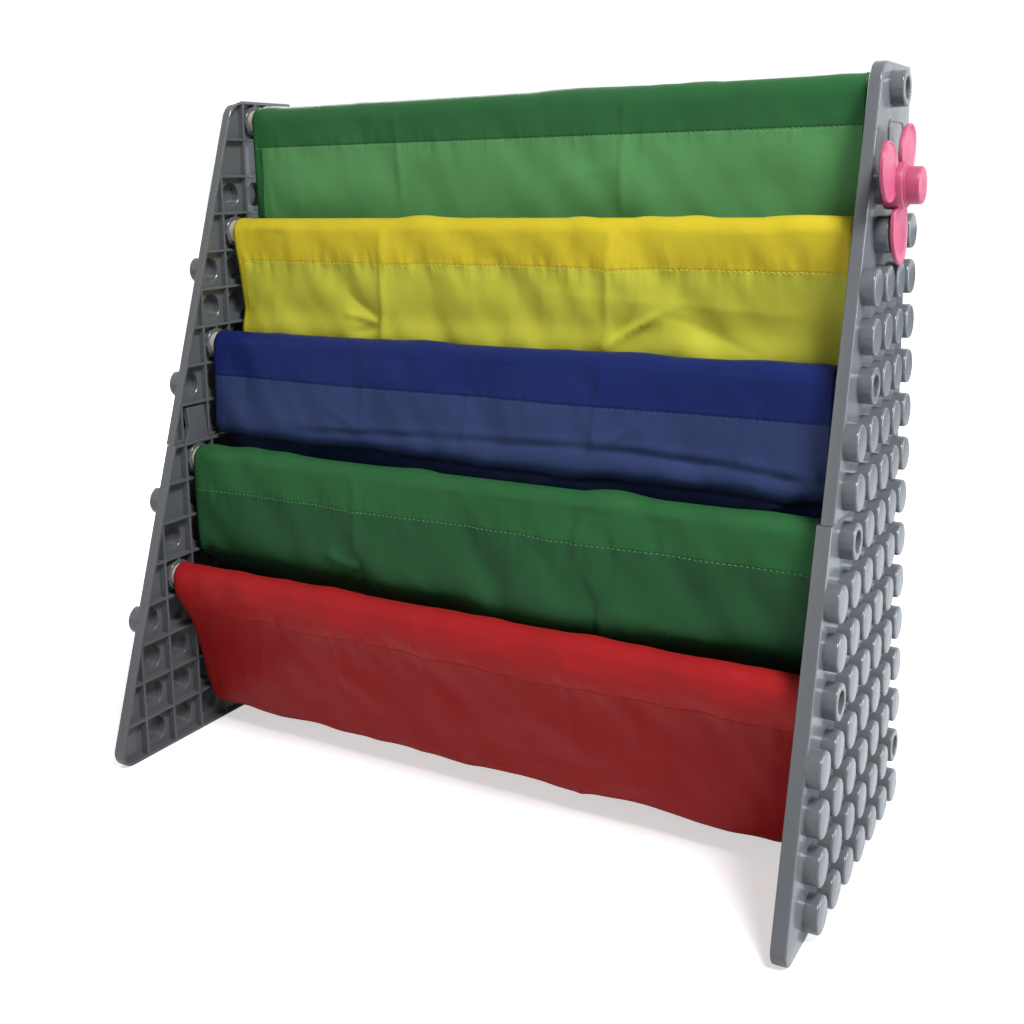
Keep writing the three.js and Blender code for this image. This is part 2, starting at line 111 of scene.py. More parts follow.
BLADE_TILT = math.radians(1)
BLADE_CLEARANCE = 0.0012
FIRST_BLADE = 48
HUB_LIFT = 0.0039
HUB_LENGTH = 0.0137
HUB_RADIUS = 0.0155
HUB_STUD = 0.0103
BORE_GAP = 0.0001

# Faces that meet at less than this angle in degrees are shaded as one surface
SMOOTH_ANGLE = 32

# Places that follow from the frame
PANEL_LOW, PANEL_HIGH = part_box("left_panel_upper")[0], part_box("right_panel_upper")[1]
MIDDLE_X = (PANEL_LOW[0] + PANEL_HIGH[0]) / 2
BACK_Y = PANEL_HIGH[1]
PANEL_HEIGHT = ROWS * PITCH + 2 * RIM
SEAM_HEIGHT = (ROWS - UPPER_ROWS) * PITCH + RIM
LEAN_ANGLE = math.atan(1 / FRONT_LEAN)
RIM_WALL = RIM + RIB / 2


def column_depth(column):
    """Y of the middle of a column of cells"""
    return BACK_Y + (column - COLUMNS + 1) * PITCH - BACK_MARGIN


def row_height(row):
    """Z of the middle of a row of cells"""
    return (ROWS - row + 0.5) * PITCH + RIM


def front_at(height):
    """Y of the panels' leaning front edge at a height"""
    return column_depth(0) - FOOT_REACH + height / FRONT_LEAN


RODS = [(column_depth(5 - i), row_height(1 + 3 * i)) for i in range(FRONT_RODS)]
REAR_ROD = (column_depth(6), row_height(16))
ROD_PLACES = [*RODS, REAR_ROD]
ROD_NODES = [*(f"front_rod_{i + 1}" for i in range(FRONT_RODS)), "rear_rod"]
PIVOT = (column_depth(SPINNER_COLUMN), row_height(SPINNER_ROW))


def srgb(red, green, blue):
    """A colour given as three numbers from 0 to 255, in the linear values of a shader"""
    def linear(value):
        value /= 255
        return value / 12.92 if value <= 0.04045 else ((value + 0.055) / 1.055) ** 2.4
    return linear(red), linear(green), linear(blue)


def length_prop(name, text, default):
    """A length in metres that a user can change"""
    return FloatProperty(name=name, description=text, default=default, min=0, unit="LENGTH",
                         subtype="DISTANCE", precision=4)


def colour_prop(name, text, default):
    """A colour that a user can change"""
    return FloatVectorProperty(name=name, description=text, default=default, size=3, min=0,
                               max=1, subtype="COLOR")


class PanelSettings(PropertyGroup):
    """Sizes and colour of the side panels"""
    colour: colour_prop("Colour", "Grey of the moulded side panels", srgb(98, 101, 105))
    edge: length_prop("Edge rounding", "Radius of the outer edge of a panel", 0.0014)
    chamfer: length_prop("Rib chamfer", "Chamfer along the tops of the ribs", 0.0004)
    recess_radius: length_prop("Recess radius", "Hollow behind each stud", 0.0105)
    recess_depth: length_prop("Recess depth", "Depth of the hollow behind each stud", 0.0072)


class StudSettings(PropertyGroup):
    """Sizes of the studs"""
    radius: length_prop("Radius", "Radius of a stud", STUD_RADIUS)
    height: length_prop("Height", "How far a stud stands out", STUD_HEIGHT)
    rounding: length_prop("Rounding", "Radius of a stud's outer edge", 0.0016)
    hole: length_prop("Hole radius", "Hole in the studs at the rod ends", 0.0075)
    sides: IntProperty(name="Sides", description="Faces round a stud", default=32, min=8)


class RodSettings(PropertyGroup):
    """Sizes and colour of the rods and their screws"""
    colour: colour_prop("Colour", "Cream of the rods", srgb(224, 216, 200))
    edge: length_prop("Edge rounding", "Rounding at each end of a rod", 0.0008)
    screw_head: length_prop("Screw head radius", "Radius of the head of a rod's screw", 0.0046)
    screw_radius: length_prop("Screw radius", "Radius of a screw's shank", 0.0020)


class ClothSettings(PropertyGroup):
    """Colours and sizes of the cloth"""
    green: colour_prop("Green", "Colour of the green cloth", srgb(43, 98, 54))
    yellow: colour_prop("Yellow", "Colour of the yellow cloth", srgb(213, 192, 47))
    blue: colour_prop("Blue", "Colour of the blue cloth", srgb(20, 36, 96))
    red: colour_prop("Red", "Colour of the red cloth", srgb(170, 32, 35))
    thickness: length_prop("Thickness", "Thickness of the cloth where it is doubled", 0.0009)
    hem: length_prop("Hem", "Width of the turned-in side hems", 0.0085)
    spacing: length_prop("Mesh spacing", "Distance between the mesh lines of a sheet", 0.0024)


class StitchSettings(PropertyGroup):
    """Sizes of the stitches"""
    pitch: length_prop("Pitch", "Distance from one stitch to the next", 0.0040)
    length: length_prop("Length", "Length of one stitch", 0.0021)
    thread: length_prop("Thread", "Thickness of the thread", 0.0008)


class SpinnerSettings(PropertyGroup):
    """Sizes and colour of the toy spinner"""
    colour: colour_prop("Colour", "Pink of the toy spinner", srgb(178, 74, 106))
    rim: length_prop("Rim width", "Width of the raised rim round a blade", 0.0016)
    sink: length_prop("Sink", "How far a blade's middle lies below its rim", 0.0005)
    swell: length_prop("Swell", "How far the middle of a blade swells out again", 0.0009)


class StageSettings(PropertyGroup):
    """The floor and the lamps"""
    floor: colour_prop("Floor", "Colour of the floor", (0.86, 0.86, 0.86))
    overhead: FloatProperty(name="Overhead lamp", description="Power of the lamp above",
                            default=38, unit="POWER")
    window: FloatProperty(name="Window lamp", description="Power of the lamp at the right",
                          default=19, unit="POWER")
    front: FloatProperty(name="Front lamp", description="Power of the weak lamp in front",
                         default=5.5, unit="POWER")
    back: FloatProperty(name="Back lamp", description="Power of the lamp behind at the left",
                        default=34, unit="POWER")
    ambient: FloatProperty(name="Ambient", description="Strength of the light from all round",
                           default=0.11)


# Node trees

class Tree:
    """A node tree that is being built"""

    def __init__(self, tree):
        self.tree = tree

    def add(self, kind, inputs=None, **settings):
        """A new node with its settings made and its inputs linked or given values"""
        node = self.tree.nodes.new(kind)
        for name, value in settings.items():
            setattr(node, name, value)
        for name, value in (inputs or {}).items():
            socket = node.inputs[name]
            if isinstance(value, bpy.types.NodeSocket):
                self.tree.links.new(value, socket)
            else:
                socket.default_value = value
        return node

    def math(self, operation, *values):
        """The result of a Math node"""
        return self.add("ShaderNodeMath", dict(enumerate(values)), operation=operation).outputs[0]

    def xyz(self, x, y, z):
        """A vector from three numbers or sockets"""
        return self.add("ShaderNodeCombineXYZ", {0: x, 1: y, 2: z}).outputs[0]

    def noise(self, vector, scale, detail=2.0, roughness=0.5):
        """The value of a Noise Texture"""
        node = self.add("ShaderNodeTexNoise", {"Vector": vector, "Scale": scale,
                                               "Detail": detail, "Roughness": roughness})
        return node.outputs["Fac"]

    def blend(self, share, first, second):
        """Two colours blended by a share"""
        node = self.add("ShaderNodeMix", data_type="RGBA")
        for socket, value in ((node.inputs[0], share), (node.inputs[6], first),
                              (node.inputs[7], second)):
            if isinstance(value, bpy.types.NodeSocket):
                self.tree.links.new(value, socket)
            else:
                socket.default_value = value
        return node.outputs[2]

    def spread(self, value, low, high):
        """A value from 0 to 1 laid over a range"""
        node = self.add("ShaderNodeMapRange", {"Value": value, "To Min": low, "To Max": high})
        return node.outputs[0]

    def link(self, source, target):
        """A wire from one socket to another"""
        self.tree.links.new(source, target)


def new_material(name):
    """An empty node material: its tree and its shader"""
    material = bpy.data.materials.new(name)
    material.use_nodes = True
    return material, Tree(material.node_tree), material.node_tree.nodes["Principled BSDF"]


def opaque(colour, share=1.0):
    """A colour, lighter or darker by a share, with full alpha"""
    return (*[value * share for value in colour], 1.0)


def moulded_plastic(name, colour, roughness):
    """Moulded plastic with faint cloudiness, scuffs and an uneven skin"""
    material, tree, shader = new_material(name)
    place = tree.add("ShaderNodeTexCoord").outputs["Object"]
    clouds = tree.noise(place, 14.0, 3.0)
    grain = tree.noise(place, 700.0, 2.0)
    scuffs = tree.noise(place, 90.0, 5.0, 0.7)
    tint = tree.spread(clouds, 0.0, 1.0)
    colour_out = tree.blend(tint, opaque(colour, 0.93), opaque(colour, 1.06))
    tree.link(colour_out, shader.inputs["Base Color"])
    rough = tree.math("ADD", tree.spread(scuffs, roughness - 0.05, roughness + 0.07),
                      tree.spread(grain, -0.02, 0.02))
    tree.link(rough, shader.inputs["Roughness"])
    bump = tree.add("ShaderNodeBump", {"Height": tree.math("ADD", clouds,
                                                         tree.math("MULTIPLY", grain, 0.04)),
                                       "Strength": 0.2, "Distance": 0.0005})
    tree.link(bump.outputs[0], shader.inputs["Normal"])
    shader.inputs["Specular IOR Level"].default_value = 0.4
    return material


def brushed_steel(name):
    """Zinc-plated steel with fine streaks"""
    material, tree, shader = new_material(name)
    place = tree.add("ShaderNodeTexCoord").outputs["Object"]
    streaks = tree.noise(tree.add("ShaderNodeMapping", {"Vector": place,
                                                        "Scale": (40, 900, 900)}).outputs[0], 1.0)
    colour = tree.blend(streaks, opaque(srgb(150, 152, 154)), opaque(srgb(196, 198, 200)))
    tree.link(colour, shader.inputs["Base Color"])
    tree.link(tree.spread(streaks, 0.25, 0.45), shader.inputs["Roughness"])
    shader.inputs["Metallic"].default_value = 1.0
    return material


def rod_finish(name, colour):
    """Smooth cream rods with a faint lengthwise grain"""
    material, tree, shader = new_material(name)
    place = tree.add("ShaderNodeTexCoord").outputs["Object"]
    stretched = tree.add("ShaderNodeMapping", {"Vector": place, "Scale": (6, 260, 260)})
    grain = tree.noise(stretched.outputs[0], 1.0, 4.0, 0.6)
    tree.link(tree.blend(grain, opaque(colour, 0.9), opaque(colour, 1.04)),
              shader.inputs["Base Color"])
    tree.link(tree.spread(grain, 0.42, 0.56), shader.inputs["Roughness"])
    bump = tree.add("ShaderNodeBump", {"Height": grain, "Strength": 0.2, "Distance": 0.0002})
    tree.link(bump.outputs[0], shader.inputs["Normal"])
    return material


def woven_cloth(name, colour, plan, hem):
    """Satin-faced woven cloth. The doubled parts, which are the sleeve and the hems, are
    deeper in colour, and the single cloth is paler: painted light in its colour stands for the
    light that comes through it."""
    material, tree, shader = new_material(name)
    cut = tree.add("ShaderNodeSeparateXYZ", {0: tree.add("ShaderNodeUVMap",
                                                         uv_map="cut").outputs[0]})
    across, along = cut.outputs[0], cut.outputs[1]
    folded = tree.math("MAXIMUM",
                       tree.math("LESS_THAN", across, hem - SHEET_WIDTH / 2),
                       tree.math("GREATER_THAN", across, SHEET_WIDTH / 2 - RIGHT_HEM))
    folded = tree.math("MULTIPLY", folded, plan["hem"])
    for start, end in plan["doubled"]:
        after = tree.math("GREATER_THAN", along, start)
        before = tree.math("LESS_THAN", along, end)
        folded = tree.math("MAXIMUM", folded, tree.math("MULTIPLY", after, before))
    threads = tree.math("MULTIPLY",
                        tree.math("SINE", tree.math("MULTIPLY", across, math.tau / 0.0008)),
                        tree.math("SINE", tree.math("MULTIPLY", along, math.tau / 0.0008)))
    warp = tree.noise(tree.xyz(tree.math("MULTIPLY", across, 900.0),
                               tree.math("MULTIPLY", along, 22.0), 0.0), 1.0, 2.0)
    weft = tree.noise(tree.xyz(tree.math("MULTIPLY", across, 22.0),
                               tree.math("MULTIPLY", along, 900.0), 3.0), 1.0, 2.0)
    slubs = tree.math("MULTIPLY", tree.math("ADD", warp, weft), 0.5)
    clouds = tree.noise(tree.xyz(across, along, 7.0), 11.0, 3.0)
    # The single cloth's colour holds painted light that comes through the single layer
    single = tree.blend(clouds, opaque(plan["single"], 0.94), opaque(plan["single"], 1.06))
    double = tree.blend(clouds, opaque(colour, 0.94), opaque(colour, 1.05))
    colour_out = tree.blend(folded, single, double)
    shade = tree.spread(slubs, 0.955, 1.045)
    tinted = tree.add("ShaderNodeVectorMath", {0: colour_out, "Scale": shade},
                      operation="SCALE").outputs[0]
    tree.link(tinted, shader.inputs["Base Color"])
    tree.link(tree.spread(slubs, plan["gloss"] - 0.06, plan["gloss"] + 0.06),
              shader.inputs["Roughness"])

    def wrinkles(turn, wide, long, detail):
        """Noise stretched along a line at an angle across the cloth"""
        side = tree.math("ADD", tree.math("MULTIPLY", across, math.cos(turn)),
                         tree.math("MULTIPLY", along, math.sin(turn)))
        run = tree.math("SUBTRACT", tree.math("MULTIPLY", along, math.cos(turn)),
                        tree.math("MULTIPLY", across, math.sin(turn)))
        return tree.noise(tree.xyz(tree.math("MULTIPLY", side, wide),
                                   tree.math("MULTIPLY", run, long), float(plan["seed"])),
                          1.0, detail)

    folds = wrinkles(-0.6, 27.0, 7.0, 0.5)
    ridge = tree.math("ABSOLUTE", tree.math("SUBTRACT", wrinkles(0.3, 30.0, 11.0, 1.5), 0.5))
    gather = tree.math("SUBTRACT", along, plan["seam"])
    groove = tree.add("ShaderNodeMapRange", {"Value": tree.math("ABSOLUTE", gather),
                                             "From Max": 0.0016, "To Min": 1.0,
                                             "To Max": 0.0}).outputs[0]
    height = tree.math("MULTIPLY", threads, 0.018)
    gathers = tree.noise(tree.xyz(tree.math("MULTIPLY", across, 125.0),
                                  tree.math("MULTIPLY", along, 30.0), 5.0), 1.0, 1.0)
    reach = tree.add("ShaderNodeMapRange", {"Value": tree.math("ABSOLUTE", gather),
                                            "From Max": 0.014, "To Min": 1.0,
                                            "To Max": 0.0}).outputs[0]
    gathers = tree.math("MULTIPLY", tree.math("SUBTRACT", gathers, 0.5), reach)
    for layer, share in ((slubs, 0.10), (folded, 0.35), (folds, plan["soft"] * 4.4),
                         (ridge, -plan["soft"] * 2.6), (groove, -0.45),
                         (gathers, plan["puckers"] * 1300)):
        height = tree.math("ADD", height, tree.math("MULTIPLY", layer, share))
    bump = tree.add("ShaderNodeBump", {"Height": height, "Strength": 1.0, "Distance": 0.001})
    tree.link(bump.outputs[0], shader.inputs["Normal"])
    shader.inputs["Sheen Weight"].default_value = 0.02
    shader.inputs["Sheen Roughness"].default_value = 0.4
    shader.inputs["Specular IOR Level"].default_value = 0.13
    return material


def thread_finish(name, colour):
    """Twisted sewing thread"""
    material, tree, shader = new_material(name)
    place = tree.add("ShaderNodeTexCoord").outputs["Object"]
    twist = tree.noise(place, 1500.0, 2.0)
    tree.link(tree.blend(twist, opaque(colour, 0.8), opaque(colour, 1.1)),
              shader.inputs["Base Color"])
    tree.link(tree.spread(twist, 0.45, 0.65), shader.inputs["Roughness"])
    shader.inputs["Specular IOR Level"].default_value = 0.2
    shader.inputs["Sheen Weight"].default_value = 0.02
    return material


# Flat shapes, as lists of (depth, height) places in anticlockwise order

def rounded(corners, steps=8):
    """A closed outline whose corners are rounded by the radius given third"""
    outline = []
    for i, (y, z, radius) in enumerate(corners):
        at = Vector((y, z))
        before = (Vector(corners[i - 1][:2]) - at).normalized()
        after = (Vector(corners[(i + 1) % len(corners)][:2]) - at).normalized()
        if radius <= 0:
            outline.append(at)
            continue
        half = math.acos(max(-1, min(1, before.dot(after)))) / 2
        start = at + before * radius / math.tan(half)
        end = at + after * radius / math.tan(half)
        centre = at + (before + after).normalized() * radius / math.sin(half)
        turn = (start - centre).angle_signed(end - centre)
        for k in range(steps + 1):
            outline.append(centre + Matrix.Rotation(-turn * k / steps, 2) @ (start - centre))
    return outline


def offset(outline, distance):
    """An outline moved out by a distance, or in by a negative one"""
    moved = []
    count = len(outline)
    for i, at in enumerate(outline):
        first = (at - outline[i - 1]).normalized()
        second = (outline[(i + 1) % count] - at).normalized()
        normals = Vector((first.y, -first.x)), Vector((second.y, -second.x))
        share = distance / max(1 + normals[0].dot(normals[1]), 0.2)
        moved.append(at + (normals[0] + normals[1]) * share)
    return moved


def clipped(outline, window):
    """The part of a convex outline that lies inside a convex window"""
    kept = list(outline)
    for i, corner in enumerate(window):
        along = (window[(i + 1) % len(window)] - corner).normalized()
        inward = Vector((-along.y, along.x))
        result = []
        for k, point in enumerate(kept):
            last = kept[k - 1]
            here, there = (point - corner).dot(inward), (last - corner).dot(inward)
            if (here > 0) != (there > 0):
                result.append(last.lerp(point, there / (there - here)))
            if here > 0:
                result.append(point)
        kept = result
        if len(kept) < 3:
            return []
    return [p for k, p in enumerate(kept) if (p - kept[k - 1]).length > 1e-5]


def circle(place, radius, sides):
    """Points round a circle"""
    return [Vector((place[0] + radius * math.cos(math.tau * (k + 0.5) / sides),
                    place[1] + radius * math.sin(math.tau * (k + 0.5) / sides)))
            for k in range(sides)]


def rectangle(y, z, half_y, half_z):
    """Corners of an upright rectangle"""
    return [Vector((y - half_y, z - half_z)), Vector((y + half_y, z - half_z)),
            Vector((y + half_y, z + half_z)), Vector((y - half_y, z + half_z))]


# Solid meshes

class Shell:
    """The points and faces of closed shapes"""

    def __init__(self):
        self.points = []
        self.faces = []

    def ring(self, x, outline):
        """Points at one X, one for each place of an outline"""
        start = len(self.points)
        self.points += [(x, place[0], place[1]) for place in outline]
        return list(range(start, len(self.points)))

    def join(self, *rings):
        """Bands of four-sided faces from ring to ring"""
        for near, far in zip(rings, rings[1:]):
            for i in range(len(near)):
                j = (i + 1) % len(near)
                self.faces.append((near[i], near[j], far[j], far[i]))

    def cap(self, ring):
        """One face inside a ring"""
        self.faces.append(tuple(ring))

    def plate(self, outer, holes=()):
        """A flat face inside a convex ring, with convex holes"""
        if not holes:
            self.cap(outer)
            return
        rings = [outer, *holes]
        members = [i for ring in rings for i in ring]
        owner = [k for k, ring in enumerate(rings) for _ in ring]
        edges, start = [], 0
        for ring in rings:
            count = len(ring)
            edges += [(start + k, start + (k + 1) % count) for k in range(count)]
            start += count
        flat = [Vector(self.points[i][1:]) for i in members]
        _, _, faces, sources, _, _ = delaunay_2d_cdt(flat, edges, [], 0, 1e-8)
        for face in faces:
            corners = [sources[v][0] for v in face]
            owners = {owner[c] for c in corners}
            if len(owners) > 1 or owners == {0}:
                self.faces.append(tuple(members[c] for c in corners))

    def prism(self, outline, from_x, to_x, chamfer):
        """A closed bar with the outline as its section and its end edges chamfered"""
        step = math.copysign(chamfer, to_x - from_x)
        inner = offset(outline, -chamfer)
        rings = [self.ring(from_x, inner), self.ring(from_x + step, outline),
                 self.ring(to_x - step, outline), self.ring(to_x, inner)]
        self.join(*rings)
        self.cap(rings[0])
        self.cap(rings[-1])

    def turned(self, place, profile, sides, closed=True):
        """A profile of (x, radius) turned about a line along X. An open profile runs from
        one point of that line to another."""
        rings = []
        for x, radius in profile:
            if radius == 0:
                rings.append(self.ring(x, [place]))
            else:
                rings.append(self.ring(x, circle(place, radius, sides)))
        pairs = list(zip(rings, rings[1:] + rings[:1])) if closed else list(zip(rings, rings[1:]))
        for near, far in pairs:
            if len(near) == len(far):
                self.join(near, far)
                continue
            pole, ring = (near, far) if len(near) == 1 else (far, near)
            for i in range(sides):
                self.faces.append((pole[0], ring[i], ring[(i + 1) % sides]))


def mesh_piece(name, points, faces, material, smooth=SMOOTH_ANGLE):
    """An object made of the given faces, turned outward and shaded smooth up to an angle"""
    mesh = bpy.data.meshes.new(name)
    mesh.from_pydata(points, [], faces)
    work = bmesh.new()
    work.from_mesh(mesh)
    bmesh.ops.remove_doubles(work, verts=work.verts, dist=1e-6)
    bmesh.ops.recalc_face_normals(work, faces=work.faces)
    work.to_mesh(mesh)
    work.free()
    mesh.shade_smooth()
    mesh.set_sharp_from_angle(angle=math.radians(smooth))
    mesh.materials.append(material)
    piece = bpy.data.objects.new(name, mesh)
    bpy.context.scene.collection.objects.link(piece)
    return piece


def as_plain_mesh(piece):
    """The piece with its modifiers worked into a plain mesh"""
    bpy.context.view_layer.update()
    depsgraph = bpy.context.evaluated_depsgraph_get()
    mesh = bpy.data.meshes.new_from_object(piece.evaluated_get(depsgraph))
    piece.modifiers.clear()
    old, piece.data = piece.data, mesh
    name = old.name
    bpy.data.meshes.remove(old)
    mesh.name = name
    mesh.shade_smooth()
    mesh.set_sharp_from_angle(angle=math.radians(SMOOTH_ANGLE))
    if not mesh.polygons:
        raise RuntimeError(f"{piece.name} came out empty")
    return piece


# Panels

def half_planes(side, upper):
    """X of the outer face, of the skin behind it and of the ribs' tops"""
    face = INSIDE_WIDTH / 2 + UPPER_THICKNESS - (0 if upper else LOWER_SET_IN)
    thickness = UPPER_THICKNESS if upper else LOWER_THICKNESS
    return [MIDDLE_X + side * x for x in (face, face - SKIN, face - thickness)]


def half_outline(upper):
    """Outline of one half of a panel, with its corners rounded"""
    bottom = SEAM_HEIGHT + SEAM_GAP / 2 if upper else 0
    top = PANEL_HEIGHT if upper else SEAM_HEIGHT - SEAM_GAP / 2
    return rounded([
        (front_at(bottom), bottom, 0 if upper else FOOT_CORNER),
        (BACK_Y, bottom, 0 if upper else BACK_CORNER),
        (BACK_Y, top, BACK_CORNER if upper else 0),
        (front_at(top), top, TOP_CORNER if upper else 0),
    ])


def rows_of(upper):
    """Rows of cells in one half, counted from the top"""
    return range(1, UPPER_ROWS + 1) if upper else range(UPPER_ROWS + 1, ROWS + 1)


def is_rod(place):
    """Whether a rod ends at this place"""
    return any(math.dist(place, rod) < 1e-5 for rod in ROD_PLACES)


def stud_places(upper, radius):
    """Middles of the plain studs on one half"""
    return [(column_depth(column), row_height(row))
            for row in rows_of(upper) for column in range(COLUMNS)
            if row >= FIRST_STUD_ROW
            and column_depth(column) - front_at(row_height(row)) >= radius
            and not is_rod((column_depth(column), row_height(row)))]


def cells_of(upper):
    """Middle and outline of every cell on the inner side of one half"""
    window = offset(half_outline(upper), -RIM_WALL)
    half = (PITCH - RIB) / 2
    cells = []
    for row in rows_of(upper):
        for column in range(-1, COLUMNS):
            place = (column_depth(column), row_height(row))
            outline = clipped(rectangle(*place, half, half), window)
            if outline and max(p.x for p in outline) - min(p.x for p in outline) > 0.002:
                cells.append((place, outline))
    return cells


def tab_outline(column, clearance):
    """A joining tab, which widens towards its root"""
    y = column_depth(column)
    root, tip = (PITCH - RIB) / 2 - FIT_GAP + clearance, TAB_TIP + clearance
    low, high = SEAM_HEIGHT - RIM_WALL, SEAM_HEIGHT + TAB_HEIGHT + clearance
    return [Vector((y - root, low)), Vector((y + root, low)),
            Vector((y + tip, high)), Vector((y - tip, high))]


def panel_body(side, upper, sizes, studs):
    """The ribbed plate of one half, with a cup for each stud"""
    face, skin, inside = half_planes(side, upper)
    shell = Shell()
    outline = half_outline(upper)
    steps, bevel = 4, 0.0004
    rings = []
    for k in range(steps + 1):
        angle = math.pi / 2 * k / steps
        inset = sizes.edge * (1 - math.sin(angle))
        depth = sizes.edge * (1 - math.cos(angle))
        rings.append(shell.ring(face - side * depth, offset(outline, -inset)))
    rings.append(shell.ring(inside + side * sizes.chamfer, outline))
    rings.append(shell.ring(inside, offset(outline, -sizes.chamfer)))
    shell.join(*rings)

    cups = []
    flat = offset(outline, -sizes.edge - 0.0003)
    for place in studs:
        base = clipped(circle(place, CUP_RADIUS, 24), flat)
        cup, top = shell.ring(face, base), shell.ring(face + side * CUP_HEIGHT, base)
        shell.join(cup, top)
        shell.cap(top)
        cups.append(cup)
    shell.plate(rings[0], cups)

    openings = []
    for place, cell in cells_of(upper):
        mouth = shell.ring(inside, offset(cell, sizes.chamfer))
        lip = shell.ring(inside + side * sizes.chamfer, cell)
        floor = shell.ring(skin, cell)
        shell.join(mouth, lip, floor)
        openings.append(mouth)
        studded = any(math.dist(place, stud) < 1e-5 for stud in studs)
        recess = clipped(circle(place, sizes.recess_radius, 28), offset(cell, -0.0009))
        if studded and recess:
            edge = shell.ring(skin, offset(recess, bevel))
            neck = shell.ring(skin + side * bevel, recess)
            floor_ring = shell.ring(skin + side * sizes.recess_depth, recess)
            shell.join(edge, neck, floor_ring)
            shell.cap(floor_ring)
            shell.plate(floor, [edge])
        else:
            shell.cap(floor)
    shell.plate(rings[-1], openings)
    return shell


def panel_extras(side, upper, sizes):
    """Rod sockets, the raised frame near the top and the joining tabs"""
    face, skin, inside = half_planes(side, upper)
    shell = Shell()
    buried = skin + side * 0.0006
    chamfer = 0.0003
    for rod in ROD_PLACES:
        if (rod[1] > SEAM_HEIGHT) != upper:
            continue
        low, high = ROD_RADIUS + FIT_GAP, ROD_RADIUS + 0.003
        shell.turned(rod, [(buried, high), (inside + side * chamfer, high),
                           (inside, high - chamfer), (inside, low + chamfer),
                           (inside + side * chamfer, low), (buried, low)], 40)
        reach = (PITCH - RIB / 2) / 2
        top = inside + side * 0.0002
        for dy, dz in ((1, 0), (-1, 0), (0, 1), (0, -1)):
            middle = (high - 0.0004 + reach) / 2
            along, across = (reach - high + 0.0004) / 2, RIB / 2
            half_y, half_z = (along, across) if dy else (across, along)
            outline = rectangle(rod[0] + dy * middle, rod[1] + dz * middle, half_y, half_z)
            shell.prism(outline, buried, top, 0.0002)
    if upper:
        corners = rectangle(column_depth(PLAQUE_COLUMN), row_height(PLAQUE_ROW),
                            PLAQUE_HALF_WIDTH, PLAQUE_HALF_HEIGHT)
        outer = rounded([(*corner, PLAQUE_CORNER) for corner in corners])
        raised = face + side * 0.0008
        bases = [shell.ring(face - side * 0.0005, outer), shell.ring(raised - side * 0.0003, outer),
                 shell.ring(raised, offset(outer, -0.0004)),
                 shell.ring(raised, offset(outer, -0.0015)),
                 shell.ring(face + side * 0.0003, offset(outer, -0.002)),
                 shell.ring(face - side * 0.0005, offset(outer, -0.002))]
        shell.join(*bases, bases[0])
    else:
        outer_x = MIDDLE_X + side * (INSIDE_WIDTH / 2 + UPPER_THICKNESS - SKIN - FIT_GAP)
        inner_x = MIDDLE_X + side * INSIDE_WIDTH / 2
        for column in TAB_COLUMNS:
            # A narrow slot is left beside the front side of each tab
            tab = tab_outline(column, 0)
            tab.append((tab[0] + tab[3]) / 2 + Vector((TAB_SLOT, 0)))
            shell.prism(tab, outer_x, inner_x, 0.0004)
    return shell


def merged(name, pieces):
    """Several pieces made one object"""
    first = pieces[0]
    work = bmesh.new()
    for piece in pieces:
        work.from_mesh(piece.data)
    work.to_mesh(first.data)
    work.free()
    for piece in pieces[1:]:
        bpy.data.meshes.remove(piece.data)
    first.name = name
    return first


class BOOKSHELF_OT_panels(Operator):
    """Build the four halves of the side panels"""
    bl_idname = "bookshelf.panels"
    bl_label = "Build Panels"

    def execute(self, context):
        sizes = context.scene.bookshelf_panels
        studs = context.scene.bookshelf_studs
        grey = moulded_plastic("panel grey", sizes.colour, 0.18)
        for side, side_name in ((-1, "left"), (1, "right")):
            for upper, half_name in ((True, "upper"), (False, "lower")):
                name = f"{side_name}_{half_name}_panel"
                places = stud_places(upper, studs.radius)
                body = panel_body(side, upper, sizes, places)
                piece = mesh_piece(name, body.points, body.faces, grey)
                if upper:
                    _, skin, inside = half_planes(side, upper)
                    notch = Shell()
                    for column in TAB_COLUMNS:
                        notch.prism(tab_outline(column, FIT_GAP), skin, inside - side * PITCH,
                                    0.0001)
                    cutter = mesh_piece("notch", notch.points, notch.faces, grey)
                    cut = piece.modifiers.new("notch", "BOOLEAN")
                    cut.operation, cut.solver, cut.object = "DIFFERENCE", "EXACT", cutter
                    as_plain_mesh(piece)
                    bpy.data.meshes.remove(cutter.data)
                extras = panel_extras(side, upper, sizes)
                added = mesh_piece("extras", extras.points, extras.faces, grey)
                merged(name, [piece, added])
                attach(piece, "shelf")
                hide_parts(f"{side_name}_panel_{half_name}")
        return {"FINISHED"}


# Studs and screws, turned shapes set out by nodes

